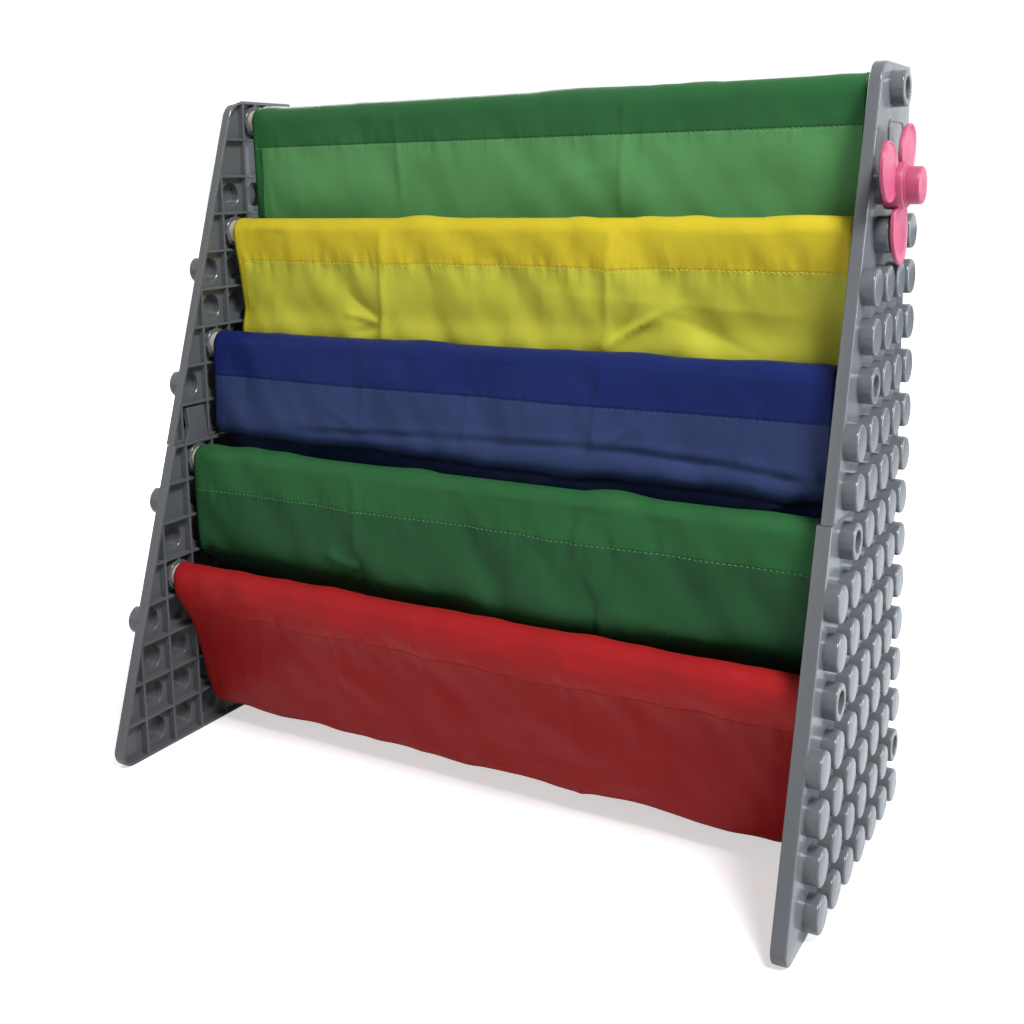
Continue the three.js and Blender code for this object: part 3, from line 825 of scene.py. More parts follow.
def turned_tree(name, inputs, chain, cross_cut=False):
    """Geometry Nodes that turn a profile about X and set one at each point of the mesh that
    they work on. chain gives the names of each corner's height, radius and rounding."""
    group = bpy.data.node_groups.new(name, "GeometryNodeTree")
    interface = group.interface
    interface.new_socket("Places", in_out="INPUT", socket_type="NodeSocketGeometry")
    for label, default in inputs.items():
        socket = interface.new_socket(label, in_out="INPUT", socket_type="NodeSocketFloat")
        socket.default_value = default
    interface.new_socket("Sides", in_out="INPUT", socket_type="NodeSocketInt").default_value = 32
    interface.new_socket("Material", in_out="INPUT", socket_type="NodeSocketMaterial")
    interface.new_socket("Geometry", in_out="OUTPUT", socket_type="NodeSocketGeometry")
    tree = Tree(group)
    given = tree.add("NodeGroupInput").outputs

    def value(label):
        """An input given by its name, or a plain number as it is"""
        return given[label] if isinstance(label, str) else label

    index = tree.add("GeometryNodeInputIndex").outputs[0]
    count = len(chain)
    line = tree.add("GeometryNodeMeshLine", {"Count": count}).outputs[0]
    corners = tree.add("GeometryNodeIndexSwitch", data_type="VECTOR")
    rounding = tree.add("GeometryNodeIndexSwitch", data_type="FLOAT")
    for switch in (corners, rounding):
        while len(switch.index_switch_items) < count:
            switch.index_switch_items.new()
        tree.link(index, switch.inputs[0])
    for i, (height, radius, radius_of_edge) in enumerate(chain):
        tree.link(tree.xyz(value(height), value(radius), 0.0), corners.inputs[1 + i])
        edge = value(radius_of_edge)
        if isinstance(edge, bpy.types.NodeSocket):
            tree.link(edge, rounding.inputs[1 + i])
        else:
            rounding.inputs[1 + i].default_value = edge
    placed = tree.add("GeometryNodeSetPosition", {"Geometry": line,
                                                  "Position": corners.outputs[0]}).outputs[0]
    curve = tree.add("GeometryNodeMeshToCurve", {"Mesh": placed}).outputs[0]
    curve = tree.add("GeometryNodeFilletCurve", {"Curve": curve, "Count": 3,
                                                 "Radius": rounding.outputs[0],
                                                 "Limit Radius": True}, mode="POLY").outputs[0]
    size = tree.add("GeometryNodeAttributeDomainSize", {"Geometry": curve}, component="CURVE")
    rungs = size.outputs["Point Count"]
    grid = tree.add("GeometryNodeMeshGrid", {"Vertices X": tree.math("ADD", given["Sides"], 1.0),
                                             "Vertices Y": rungs}).outputs[0]
    rung = tree.math("FLOORED_MODULO", index, rungs)
    turn = tree.math("DIVIDE", tree.math("FLOOR", tree.math("DIVIDE", tree.math("ADD", index, 0.5),
                                                            rungs)), given["Sides"])
    angle = tree.math("MULTIPLY", turn, math.tau)
    sample = tree.add("GeometryNodeSampleIndex", {"Geometry": curve,
                                                  "Index": tree.math("ROUND", rung)},
                      data_type="FLOAT_VECTOR", domain="POINT")
    position = tree.add("GeometryNodeInputPosition").outputs[0]
    tree.link(position, sample.inputs["Value"])
    parts = tree.add("ShaderNodeSeparateXYZ", {0: sample.outputs[0]}).outputs
    lathed = tree.add("GeometryNodeSetPosition", {
        "Geometry": grid,
        "Position": tree.xyz(parts[0], tree.math("MULTIPLY", parts[1], tree.math("COSINE", angle)),
                             tree.math("MULTIPLY", parts[1], tree.math("SINE", angle)))}).outputs[0]
    solid = tree.add("GeometryNodeMergeByDistance", {"Geometry": lathed,
                                                     "Distance": 0.00002}).outputs[0]
    if cross_cut:
        cut = tree.add("GeometryNodeMeshBoolean", {"Mesh 1": solid}, operation="DIFFERENCE",
                       solver="EXACT")
        for size_xyz in ((0.003, 0.0046, 0.0009), (0.003, 0.0009, 0.0046)):
            arm = tree.add("GeometryNodeMeshCube", {"Size": size_xyz}).outputs[0]
            moved = tree.add("GeometryNodeTransform", {
                "Geometry": arm, "Translation": tree.xyz(given["Head Top"], 0.0, 0.0)})
            tree.link(moved.outputs[0], cut.inputs["Mesh 2"])
        solid = cut.outputs[0]
    facing = tree.add("GeometryNodeInputNamedAttribute", {"Name": "turn"}, data_type="FLOAT")
    copies = tree.add("GeometryNodeInstanceOnPoints", {
        "Points": given["Places"], "Instance": solid,
        "Rotation": tree.xyz(0.0, 0.0, facing.outputs[0])}).outputs[0]
    real = tree.add("GeometryNodeRealizeInstances", {0: copies}).outputs[0]
    painted = tree.add("GeometryNodeSetMaterial", {"Geometry": real,
                                                   "Material": given["Material"]}).outputs[0]
    out = tree.add("NodeGroupOutput")
    tree.link(painted, out.inputs[0])
    return group


def run_nodes(piece, group, values):
    """Gives a piece a Geometry Nodes modifier with its inputs set, and makes it a plain mesh"""
    modifier = piece.modifiers.new(group.name, "NODES")
    modifier.node_group = group
    for item in group.interface.items_tree:
        if item.item_type == "SOCKET" and item.in_out == "INPUT" and item.name in values:
            modifier[item.identifier] = values[item.name]
    return as_plain_mesh(piece)


def point_piece(name, places):
    """A mesh of bare points, each with the turn that the shape set on it takes"""
    mesh = bpy.data.meshes.new(name)
    mesh.from_pydata([place for place, _ in places], [], [])
    turn = mesh.attributes.new("turn", "FLOAT", "POINT")
    turn.data.foreach_set("value", [angle for _, angle in places])
    piece = bpy.data.objects.new(name, mesh)
    bpy.context.scene.collection.objects.link(piece)
    return piece


class BOOKSHELF_OT_studs(Operator):
    """Set a stud on the outer side of each cell, and a hollow one at each rod's end"""
    bl_idname = "bookshelf.studs"
    bl_label = "Build Studs"

    def execute(self, context):
        sizes = context.scene.bookshelf_studs
        grey = bpy.data.materials["panel grey"]
        plain = turned_tree("stud", {"Foot": STUD_SINK, "Height": STUD_HEIGHT,
                                     "Radius": STUD_RADIUS, "Rounding": 0.0016,
                                     "Wall Inside": 0.0112, "Roof Inside": 0.0062},
                            [("Roof Inside", 0.0, 0.0), ("Roof Inside", "Wall Inside", 0.0),
                             ("Foot", "Wall Inside", 0.0), ("Foot", "Radius", 0.0),
                             ("Height", "Radius", "Rounding"), ("Height", 0.0, 0.0)])
        hollow = turned_tree("rod_stud", {"Foot": STUD_SINK, "Height": STUD_HEIGHT,
                                          "Radius": STUD_RADIUS, "Rounding": 0.0013,
                                          "Hole Radius": 0.0075, "Hole Rounding": 0.0007,
                                          "Hole Floor": 0.0001},
                             [("Foot", 0.0, 0.0), ("Foot", "Radius", 0.0),
                              ("Height", "Radius", "Rounding"),
                              ("Height", "Hole Radius", "Hole Rounding"),
                              ("Hole Floor", "Hole Radius", 0.0), ("Hole Floor", 0.0, 0.0)])
        for side, side_name in ((-1, "left"), (1, "right")):
            turn = 0.0 if side > 0 else math.pi
            solid_at, hollow_at = [], []
            for upper in (True, False):
                face = half_planes(side, upper)[0]
                solid_at += [((face, y, z), turn) for y, z in stud_places(upper, sizes.radius)]
                hollow_at += [((face, y, z), turn) for y, z in ROD_PLACES
                              if (z > SEAM_HEIGHT) == upper]
            common = {"Height": sizes.height, "Radius": sizes.radius, "Sides": sizes.sides,
                      "Material": grey}
            studs = run_nodes(point_piece(f"{side_name}_studs", solid_at), plain,
                              {**common, "Rounding": sizes.rounding})
            rings = run_nodes(point_piece(f"{side_name}_rod_studs", hollow_at), hollow,
                              {**common, "Hole Radius": sizes.hole})
            for piece in (studs, rings):
                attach(piece, "shelf")
        return {"FINISHED"}


class BOOKSHELF_OT_rods(Operator):
    """Lay the six rods in their sockets"""
    bl_idname = "bookshelf.rods"
    bl_label = "Build Rods"

    def execute(self, context):
        sizes = context.scene.bookshelf_rods
        cream = rod_finish("rod cream", sizes.colour)
        for node, place in zip(ROD_NODES, ROD_PLACES):
            low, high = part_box(node)
            shell = Shell()
            edge = sizes.edge
            shell.turned(place, [
                (low[0], 0), (low[0], ROD_RADIUS - edge), (low[0] + edge * 0.3,
                                                           ROD_RADIUS - edge * 0.3),
                (low[0] + edge, ROD_RADIUS), (high[0] - edge, ROD_RADIUS),
                (high[0] - edge * 0.3, ROD_RADIUS - edge * 0.3),
                (high[0], ROD_RADIUS - edge), (high[0], 0)], 48, closed=False)
            piece = mesh_piece(f"{node}_bar", shell.points, shell.faces, cream)
            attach(piece, "shelf")
            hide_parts(node)
        return {"FINISHED"}


class BOOKSHELF_OT_screws(Operator):
    """Drive a screw into each end of each rod"""
    bl_idname = "bookshelf.screws"
    bl_label = "Build Screws"

    def execute(self, context):
        sizes = context.scene.bookshelf_rods
        steel = brushed_steel("screw steel")
        places, nodes = [], []
        for name, (y, z) in zip(ROD_NODES, ROD_PLACES):
            for side, side_name in ((-1, "left"), (1, "right")):
                node = f"screw_{side_name}_{name}"
                low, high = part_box(node)
                top = high[0] if side > 0 else low[0]
                places.append(((top, y, z), 0.0 if side > 0 else math.pi))
                nodes.append(node)
        low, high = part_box(nodes[0])
        length = high[0] - low[0]
        screw = turned_tree("screw", {"Head Top": 0.0, "Head Seat": -0.003, "Head Radius": 0.0046,
                                      "Head Rounding": 0.0018, "Shank Radius": 0.002,
                                      "Shank End": -0.022, "Tip": -0.025},
                            [("Tip", 0.0, 0.0), ("Shank End", "Shank Radius", 0.0),
                             ("Head Seat", "Shank Radius", 0.0),
                             ("Head Seat", "Head Radius", 0.0),
                             ("Head Top", "Head Radius", "Head Rounding"),
                             ("Head Top", 0.0, 0.0)], cross_cut=True)
        piece = run_nodes(point_piece("rod_screws", places), screw,
                          {"Head Radius": sizes.screw_head, "Shank Radius": sizes.screw_radius,
                           "Shank End": SCREW_POINT - length, "Tip": -length, "Sides": 20,
                           "Material": steel})
        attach(piece, "shelf")
        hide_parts(*nodes)
        return {"FINISHED"}


# Cloth. For each sheet:
# node, rod and slot: its node, its rod counted from 0 and its material's slot
# seed: where its noise starts
# line: its fall from the rod, as (depth, drop) in millimetres
# ripple: depth in millimetres, waves across, shift and slant of its side-to-side waves
# folds, bands and puckers: heights in metres of its noise, and soft the share in the bump
# creases: sharp folds from (x, drop) to (x, drop), with a height and a width, in millimetres
# fullness: where the cloth stands out, as (x, drop, width, height, depth), in millimetres
# single and thread: colours of the single cloth, with painted light that comes through it, and of
# the seam's thread
# hem: how far the side hems take the colour of doubled cloth
# gloss: its middle roughness

SHEETS = {
    "yellow": {
        "node": "cloth_pocket_yellow", "rod": 1, "slot": "cloth_yellow", "seed": 11,
        "line": [(-9, 14), (-6, 27), (-2, 50), (0, 69), (-4, 88), (1, 108), (12, 124)],
        "ripple": (1.6, 3, 0.3, 0.6),
        "folds": 0.0040, "bands": 0.0030, "puckers": 0.0020, "soft": 1.1,
        "creases": [(158, 0, 152, 110, 1.3, 4), (362, 0, 356, 84, 1.4, 4),
                    (356, 84, 402, 56, 1.8, 3.5), (354, 86, 376, 62, -1.2, 3),
                    (356, 90, 330, 112, -0.9, 4), (356, 88, 352, 112, 1.1, 3),
                    (150, 72, 118, 52, -1.1, 3.5), (150, 74, 116, 68, 1.4, 3.5),
                    (150, 78, 124, 84, -1.0, 3), (152, 76, 158, 56, 1.0, 3.5),
                    (400, 58, 470, 84, -0.7, 5),
                    (300, 44, 520, 58, 0.25, 3)],
        "single": srgb(200, 198, 66), "hem": 0.8, "thread": srgb(242, 220, 104),
        "gloss": 0.4,
    },
    "blue": {
        "node": "cloth_pocket_blue", "rod": 2, "slot": "cloth_blue", "seed": 23,
        "line": [(-13, 20), (-14, 45), (-14.5, 70), (-10, 76), (0, 80), (8, 96), (24, 114),
                 (46, 127)],
        "ripple": (1.8, 2.5, 0.7, 0.8),
        "folds": 0.0036, "bands": 0.0020, "puckers": 0.0009, "soft": 1.2,
        "creases": [(166, 0, 160, 60, 1.1, 4), (372, 0, 366, 58, 1.3, 4),
                    (262, 0, 256, 60, 0.7, 4),
                    (97, 66, 250, 60, -1.2, 5), (250, 60, 367, 56, -1.5, 5),
                    (367, 56, 475, 61, -2.0, 5), (475, 61, 529, 66, -1.6, 5),
                    (367, 56, 395, 40, 0.9, 4), (529, 61, 480, 96, 1.8, 6),
                    (97, 61, 250, 55, 0.7, 3), (250, 55, 367, 51, 0.9, 3),
                    (367, 51, 475, 56, 1.0, 3), (475, 56, 529, 61, 0.8, 3),
                    (250, 60, 232, 84, 0.8, 5), (160, 62, 128, 44, 0.7, 4)],
        "fullness": [(380, 100, 165, 22, 10), (280, 96, 70, 16, 4)],
        "single": srgb(48, 61, 104), "hem": 0.25, "thread": srgb(24, 34, 84),
        "gloss": 0.4,
    },
    "green": {
        "node": "cloth_pocket_green", "rod": 3, "slot": "cloth_green", "seed": 37,
        "line": [(-11, 20), (-9.5, 45), (-8, 72), (-5, 80), (7, 90), (19, 102), (45, 118),
                 (78, 129)],
        "ripple": (1.8, 3, 0.1, 0.7),
        "folds": 0.0042, "bands": 0.0026, "puckers": 0.0014, "soft": 1.4,
        "creases": [(170, 0, 173, 72, 1.1, 4), (364, 2, 358, 24, -1.6, 6),
                    (380, 26, 378, 80, 0.8, 4), (173, 60, 176, 90, -1.6, 4),
                    (173, 70, 140, 62, 0.9, 4), (174, 74, 148, 84, -0.9, 4),
                    (378, 58, 380, 84, -1.8, 4), (382, 76, 396, 90, 1.0, 4),
                    (380, 60, 372, 40, 0.8, 5), (396, 70, 500, 84, 0.5, 5),
                    (300, 104, 330, 92, 0.9, 6)],
        "fullness": [(340, 96, 130, 24, 12)],
        "single": srgb(39, 87, 52), "hem": 0.3, "thread": srgb(104, 154, 108),
        "gloss": 0.4,
    },
    "red": {
        "node": "cloth_sling_red", "rod": 4, "slot": "cloth_red", "seed": 53,
        "line": [(-10.5, 10), (-6, 20), (-1, 28), (5, 39), (11, 54), (16, 72), (21, 92),
                 (27, 110), (32, 121), (38, 127), (50, 130), (70, 129), (100, 121), (125, 110)],
        "ripple": (1.8, 2.5, 0.4, 0.4),
        "folds": 0.0030, "bands": 0.0020, "puckers": 0.0010, "soft": 1.2,
        "creases": [(372, 0, 366, 60, 1.1, 4), (366, 60, 358, 130, 1.1, 4),
                    (374, 30, 372, 120, -0.5, 7), (165, 0, 160, 110, 0.4, 5),
                    (300, 12, 322, 2, 0.8, 4), (180, 4, 196, 22, -0.6, 4)],
        "single": srgb(156, 27, 28), "hem": 0.25, "thread": srgb(176, 48, 50),
        "gloss": 0.38,
    },
    "back": {
        "node": "cloth_back_green", "rod": 0, "slot": "cloth_green", "seed": 71,
        "ripple": (2.0, 1, 22, 0),
        "folds": 0.0030, "bands": 0.0016, "puckers": 0.0012, "soft": 0.7,
        "creases": [(152, 0, 156, 70, 0.9, 4), (360, 0, 356, 80, 1.1, 4), (8, 30, 18, 80, 0.5, 4),
                    (300, 60, 350, 46, 0.5, 5)],
        "single": srgb(86, 145, 88), "hem": 1.0, "thread": srgb(112, 164, 108),
        "gloss": 0.4,
    },
}


def back_sheet_at(height):
    """Y of the back sheet at a height: it hangs straight, then leans to the rear rod"""
    share = (RODS[0][1] - height) / (RODS[0][1] - REAR_ROD[1])
    return RODS[0][0] + (REAR_ROD[0] - RODS[0][0]) * share ** 1.5 - SLEEVE_RADIUS


def smooth_line(knots, spacing):
    """Points at an even spacing along a smooth curve through (y, z, mark) knots"""
    points = [Vector(k) for k in knots]
    points = [2 * points[0] - points[1], *points, 2 * points[-1] - points[-2]]
    fine = []
    for i in range(1, len(points) - 2):
        p0, p1, p2, p3 = points[i - 1:i + 3]
        t0 = max((p1 - p0).xy.length, 1e-6) ** 0.5
        t1 = max((p2 - p1).xy.length, 1e-6) ** 0.5
        t2 = max((p3 - p2).xy.length, 1e-6) ** 0.5
        m1 = (p2 - p1) / t1 - (p2 - p0) / (t0 + t1) + (p1 - p0) / t0
        m2 = (p3 - p2) / t2 - (p3 - p1) / (t1 + t2) + (p2 - p1) / t1
        m1, m2 = m1 * t1, m2 * t1
        for k in range(24):
            t = k / 24
            fine.append(p1 * (2 * t**3 - 3 * t**2 + 1) + m1 * (t**3 - 2 * t**2 + t)
                        + p2 * (-2 * t**3 + 3 * t**2) + m2 * (t**3 - t**2))
    fine.append(points[-2])
    lengths = [0.0]
    for a, b in zip(fine, fine[1:]):
        lengths.append(lengths[-1] + (b - a).xy.length)
    count = max(int(round(lengths[-1] / spacing)), 4)
    out, k = [], 0
    for i in range(count + 1):
        target = lengths[-1] * i / count
        while k < len(lengths) - 2 and lengths[k + 1] < target:
            k += 1
        span = lengths[k + 1] - lengths[k]
        out.append(fine[k].lerp(fine[k + 1], (target - lengths[k]) / span if span else 0))
    return out, lengths[-1]


def sheet_path(plan, spacing):
    """The line of a sheet from its hidden free edge round the rod and down, as (y, z, mark),
    where mark is below 0 on the flap, 0 on the rod and above 0 on the hanging cloth"""
    y, z = RODS[plan["rod"]]
    over = [(y + SLEEVE_RADIUS * math.cos(a), z + SLEEVE_RADIUS * math.sin(a), 0.0)
            for a in (math.radians(d) for d in range(-32, 181, 12))]
    if plan["rod"] == 0:
        hang = [(back_sheet_at(z - d), z - d, 1.0) for d in
                (0.012, 0.03, 0.06, 0.1, 0.15, 0.2, 0.26, 0.32, 0.38, 0.43, 0.462)]
        ry, rz = REAR_ROD
        under = [(ry + SLEEVE_RADIUS * math.cos(a), rz - SLEEVE_RADIUS * math.sin(a), 0.0)
                 for a in (math.radians(d) for d in range(180, -37, -12))]
        front = hang[1][0]
        first = [(front + 0.0009, z - SLEEVE_DROP, -1.0), (front + 0.0009, z - 0.024, -1.0)]
        low = back_sheet_at(rz + SLEEVE_DROP)
        last = [(low + 0.0035, rz + 0.022, -1.0), (low + 0.0012, rz + SLEEVE_DROP, -1.0)]
        return smooth_line([*first, *over, *hang, *under, *last], spacing)
    hang = [(y + d / 1000, z - drop / 1000, 1.0) for d, drop in plan["line"]]
    if plan["rod"] == 4:
        end = [(back_sheet_at(REAR_ROD[1]) - 0.0019, REAR_ROD[1], 1.0)]
    else:
        seam = z - POCKET_DEPTH
        end = [(back_sheet_at(h) - 0.0012, h, 1.0)
               for h in (seam, seam - SEAM_ALLOWANCE / 2, seam - SEAM_ALLOWANCE)]
    below = [(y - SLEEVE_RADIUS, z, 0.0), *hang]

    def front_y(height):
        """Y of the hanging cloth at a height"""
        for a, b in zip(below, below[1:]):
            if b[1] <= height:
                return a[0] + (b[0] - a[0]) * (a[1] - height) / (a[1] - b[1])
        return below[-1][0]

    first = [(front_y(z - d) + 0.0009, z - d, -1.0) for d in (SLEEVE_DROP, 0.024)]
    return smooth_line([*first, *over, *hang, *end], spacing)


def sheet_surface(plan, cloth):
    """The grid of points of a sheet, with rows along its line and columns across its width,
    and the line's length, the row of the sleeve's seam and the distance between rows"""
    spacing = cloth.spacing * (1.6 if plan["rod"] == 0 else 1.0)
    path, length = sheet_path(plan, spacing)
    y0, z0 = RODS[plan["rod"]]
    end_z = REAR_ROD[1] if plan["rod"] == 4 else z0 - POCKET_DEPTH
    full = z0 - end_z
    columns = int(round(SHEET_WIDTH / cloth.spacing))
    low = MIDDLE_X - SHEET_WIDTH / 2
    depth, waves, shift, slant = plan["ripple"]
    rows = []
    step = length / (len(path) - 1)
    front_row = next(k for k, point in enumerate(path) if point.z > 0.5)
    pocket_seams = [rod[1] - POCKET_DEPTH - SEAM_ALLOWANCE / 2 for rod in RODS[1:4]]
    if plan["rod"] == 0:
        seams = [*pocket_seams, REAR_ROD[1]]
    else:
        seams = [REAR_ROD[1] if plan["rod"] == 4 else pocket_seams[plan["rod"] - 1]]
    seam_row = 0
    for k, point in enumerate(path):
        y, z, mark = point
        before, after = path[max(k - 1, 0)], path[min(k + 1, len(path) - 1)]
        tangent = (after - before).xy.normalized()
        normal = Vector((tangent.y, -tangent.x))
        drop = z0 - z
        hanging = mark > 0.02
        free = 1.0
        for seam in seams:
            free = min(free, max(0.0, abs(z - seam) - 0.009) / 0.024)
        if hanging and drop <= SEAM_DROP:
            seam_row = k
        row = []
        for i in range(columns + 1):
            across = -1 + 2 * i / columns
            x = low + SHEET_WIDTH * i / columns
            dy = 0.0
            if plan["rod"] == 0:
                if hanging:
                    fade = math.exp(-(((drop - 0.065) / 0.022) ** 2))
                    dy = 0.001 * depth * fade * math.sin(math.tau * across + shift)
            elif hanging:
                share = max(min(drop / full, 1), 0)
                swell = BULGE * 1000 * (1 - abs(across) ** 3)
                wave = depth * math.sin(math.pi * (waves * across + shift + slant * share))
                dy = 0.001 * (wave - swell) * math.sin(math.pi * share)
            lift = relief(plan, x - low, drop, (k - front_row) * step, hanging, across) * free
            row.append(Vector((x, y + dy + normal.x * lift, z + normal.y * lift)))
        rows.append(row)
    lay_flap(rows, [point.z for point in path])
    return rows, length, seam_row, step


def crease_height(crease, x, drop):
    """Height that one crease gives the cloth at a place, all in millimetres: a sharp line from
    one end to the other that fades to both sides and past its ends"""
    x0, d0, x1, d1, height, width = crease
    run = (x1 - x0) ** 2 + (d1 - d0) ** 2
    share = ((x - x0) * (x1 - x0) + (drop - d0) * (d1 - d0)) / run
    held = max(0.0, min(1.0, share))
    gap = math.hypot(x - x0 - held * (x1 - x0), drop - d0 - held * (d1 - d0))
    if gap > 5 * width:
        return 0.0
    bend = 0.35 + 0.65 * math.sin(math.pi * min(max(share, 0.02), 0.98)) ** 0.5
    return height * bend * math.exp(-gap / width)


def relief(plan, x, drop, along, hanging, across):
    """How far the cloth stands out from its plain line: soft folds, bands, creases, puckers"""
    seed = plan["seed"]
    calm = min(1.0, (1 - abs(across)) / 0.03)
    soft = noise.noise(Vector((x * 15 + along * 11, along * 7 - x * 2, seed))) * plan["folds"]
    bands = noise.noise(Vector((x * 30 - along * 24, along * 9 + x * 6, seed + 3)))
    fine = noise.noise(Vector((x * 52 - along * 20, along * 30 + x * 6, seed + 5)))
    lift = soft + bands * plan["bands"] + fine * 0.0006
    if not hanging:
        return max(lift * 0.8, -0.0003) * calm
    below = drop - SEAM_DROP
    pucker = noise.noise(Vector((x * 105, below * 30 + x * 14, seed + 9)))
    pucker *= plan["puckers"] * math.exp(-abs(below) / (0.012 if below > 0 else 0.009))
    ease = 0.5 + 0.5 * min(1.0, drop / 0.02)
    creased = sum(crease_height(c, x * 1000, drop * 1000) for c in plan["creases"]) / 1000
    full = 0.0
    for x0, d0, wide, tall, height in plan.get("fullness", ()):
        full += 0.001 * height * math.exp(-((x * 1000 - x0) / wide) ** 2
                                          - ((drop * 1000 - d0) / tall) ** 2)
    return (lift * ease + pucker + creased * 2.3 + full) * calm


def lay_flap(rows, marks):
    """Lays the hidden edge of a sleeve close behind the front of the sleeve"""
    front = [row for row, mark in zip(rows, marks) if mark > 0.02]
    for row, mark in zip(rows, marks):
        if mark > -0.05:
            break
        for i, point in enumerate(row):
            above = next((k for k, other in enumerate(front) if other[i].z <= point.z), None)
            if not above:
                continue
            high, low = front[above - 1][i], front[above][i]
            share = (high.z - point.z) / max(high.z - low.z, 1e-6)
            behind = high.y + (low.y - high.y) * share + FLAP_GAP
            near = max(0.0, min(1.0, -mark))
            row[i] = Vector((point.x, point.y + (behind - point.y) * near, point.z))


def surface_normal(rows, k, i):
    """Outward direction of a sheet at a grid point: away from the rod and the back"""
    down = rows[min(k + 1, len(rows) - 1)][i] - rows[max(k - 1, 0)][i]
    side = rows[k][min(i + 1, len(rows[k]) - 1)] - rows[k][max(i - 1, 0)]
    return down.cross(side).normalized()


def tone_of(cloth, name):
    """Colour of a sheet where it is doubled"""
    return cloth.green if name == "back" else getattr(cloth, name)


class BOOKSHELF_OT_sheets(Operator):
    """Hang the back sheet, the three pockets and the sling"""
    bl_idname = "bookshelf.sheets"
    bl_label = "Build Cloth"

    def execute(self, context):
        cloth = context.scene.bookshelf_cloth
        for name, plan in SHEETS.items():
            rows, length, seam_row, step = sheet_surface(plan, cloth)
            plan["rows"], plan["length"], plan["seam_row"] = rows, length, seam_row
            seam = seam_row * step
            plan["seam"] = seam
            plan["doubled"] = [(-1.0, seam)]
            if plan["rod"] == 0:
                plan["doubled"].append((length - LOW_SLEEVE, length + 1.0))
            elif plan["rod"] != 4:
                plan["doubled"].append((length - SEAM_ALLOWANCE, length + 1.0))
            columns = len(rows[0])
            points = [point for row in rows for point in row]
            faces = []
            for k in range(len(rows) - 1):
                for i in range(columns - 1):
                    a = k * columns + i
                    faces.append((a, a + columns, a + columns + 1, a + 1))
            mesh = bpy.data.meshes.new(f"{name}_sheet")
            mesh.from_pydata(points, [], faces)
            layer = mesh.uv_layers.new(name="cut")
            for loop in mesh.loops:
                k, i = divmod(loop.vertex_index, columns)
                layer.data[loop.index].uv = (-SHEET_WIDTH / 2 + SHEET_WIDTH * i / (columns - 1),
                                             k * step)
            mesh.shade_smooth()
            mesh.materials.append(woven_cloth(f"{name} cloth", tone_of(cloth, name), plan,
                                              cloth.hem))
            piece = bpy.data.objects.new(f"{name}_sheet", mesh)
            context.scene.collection.objects.link(piece)
            doubled = piece.vertex_groups.new(name="doubled")
            hem_columns = int(round(cloth.hem / (SHEET_WIDTH / (columns - 1))))
            thick = [k * columns + i for k in range(len(rows)) for i in range(columns)
                     if k <= seam_row or i <= hem_columns or i >= columns - 2]
            doubled.add(thick, 1.0, "REPLACE")
            solid = piece.modifiers.new("thickness", "SOLIDIFY")
            solid.thickness, solid.offset = cloth.thickness, 0
            solid.vertex_group, solid.thickness_vertex_group = "doubled", 0.55
            solid.use_even_offset = False
            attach(piece, "shelf")
            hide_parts(plan["node"])
            plan["piece"] = piece
        return {"FINISHED"}


def stitch_tree():
    """Geometry Nodes that lay short thread stitches along the edges of a mesh"""
    group = bpy.data.node_groups.new("stitches", "GeometryNodeTree")
    interface = group.interface
    interface.new_socket("Lines", in_out="INPUT", socket_type="NodeSocketGeometry")
    for label, default in (("Pitch", 0.0040), ("Length", 0.0021), ("Thread", 0.0008)):
        socket = interface.new_socket(label, in_out="INPUT", socket_type="NodeSocketFloat")
        socket.default_value = default
    interface.new_socket("Seed", in_out="INPUT", socket_type="NodeSocketInt").default_value = 3
    interface.new_socket("Material", in_out="INPUT", socket_type="NodeSocketMaterial")
    interface.new_socket("Geometry", in_out="OUTPUT", socket_type="NodeSocketGeometry")
    tree = Tree(group)
    given = tree.add("NodeGroupInput").outputs
    curve = tree.add("GeometryNodeMeshToCurve", {"Mesh": given["Lines"]}).outputs[0]
    dots = tree.add("GeometryNodeCurveToPoints", {"Curve": curve, "Length": given["Pitch"]},
                    mode="LENGTH")
    stitch = tree.add("GeometryNodeMeshUVSphere", {"Segments": 6, "Rings": 4, "Radius": 0.5})
    odd = tree.add("FunctionNodeRandomValue", {2: 0.82, 3: 1.12, "Seed": given["Seed"]},
                   data_type="FLOAT").outputs[1]
    size = tree.xyz(given["Thread"], given["Thread"], tree.math("MULTIPLY", given["Length"], odd))
    copies = tree.add("GeometryNodeInstanceOnPoints", {
        "Points": dots.outputs["Points"], "Instance": stitch.outputs[0],
        "Rotation": dots.outputs["Rotation"], "Scale": size}).outputs[0]
    real = tree.add("GeometryNodeRealizeInstances", {0: copies}).outputs[0]
    painted = tree.add("GeometryNodeSetMaterial", {"Geometry": real,
                                                   "Material": given["Material"]}).outputs[0]
    out = tree.add("NodeGroupOutput")
    tree.link(painted, out.inputs[0])
    return group


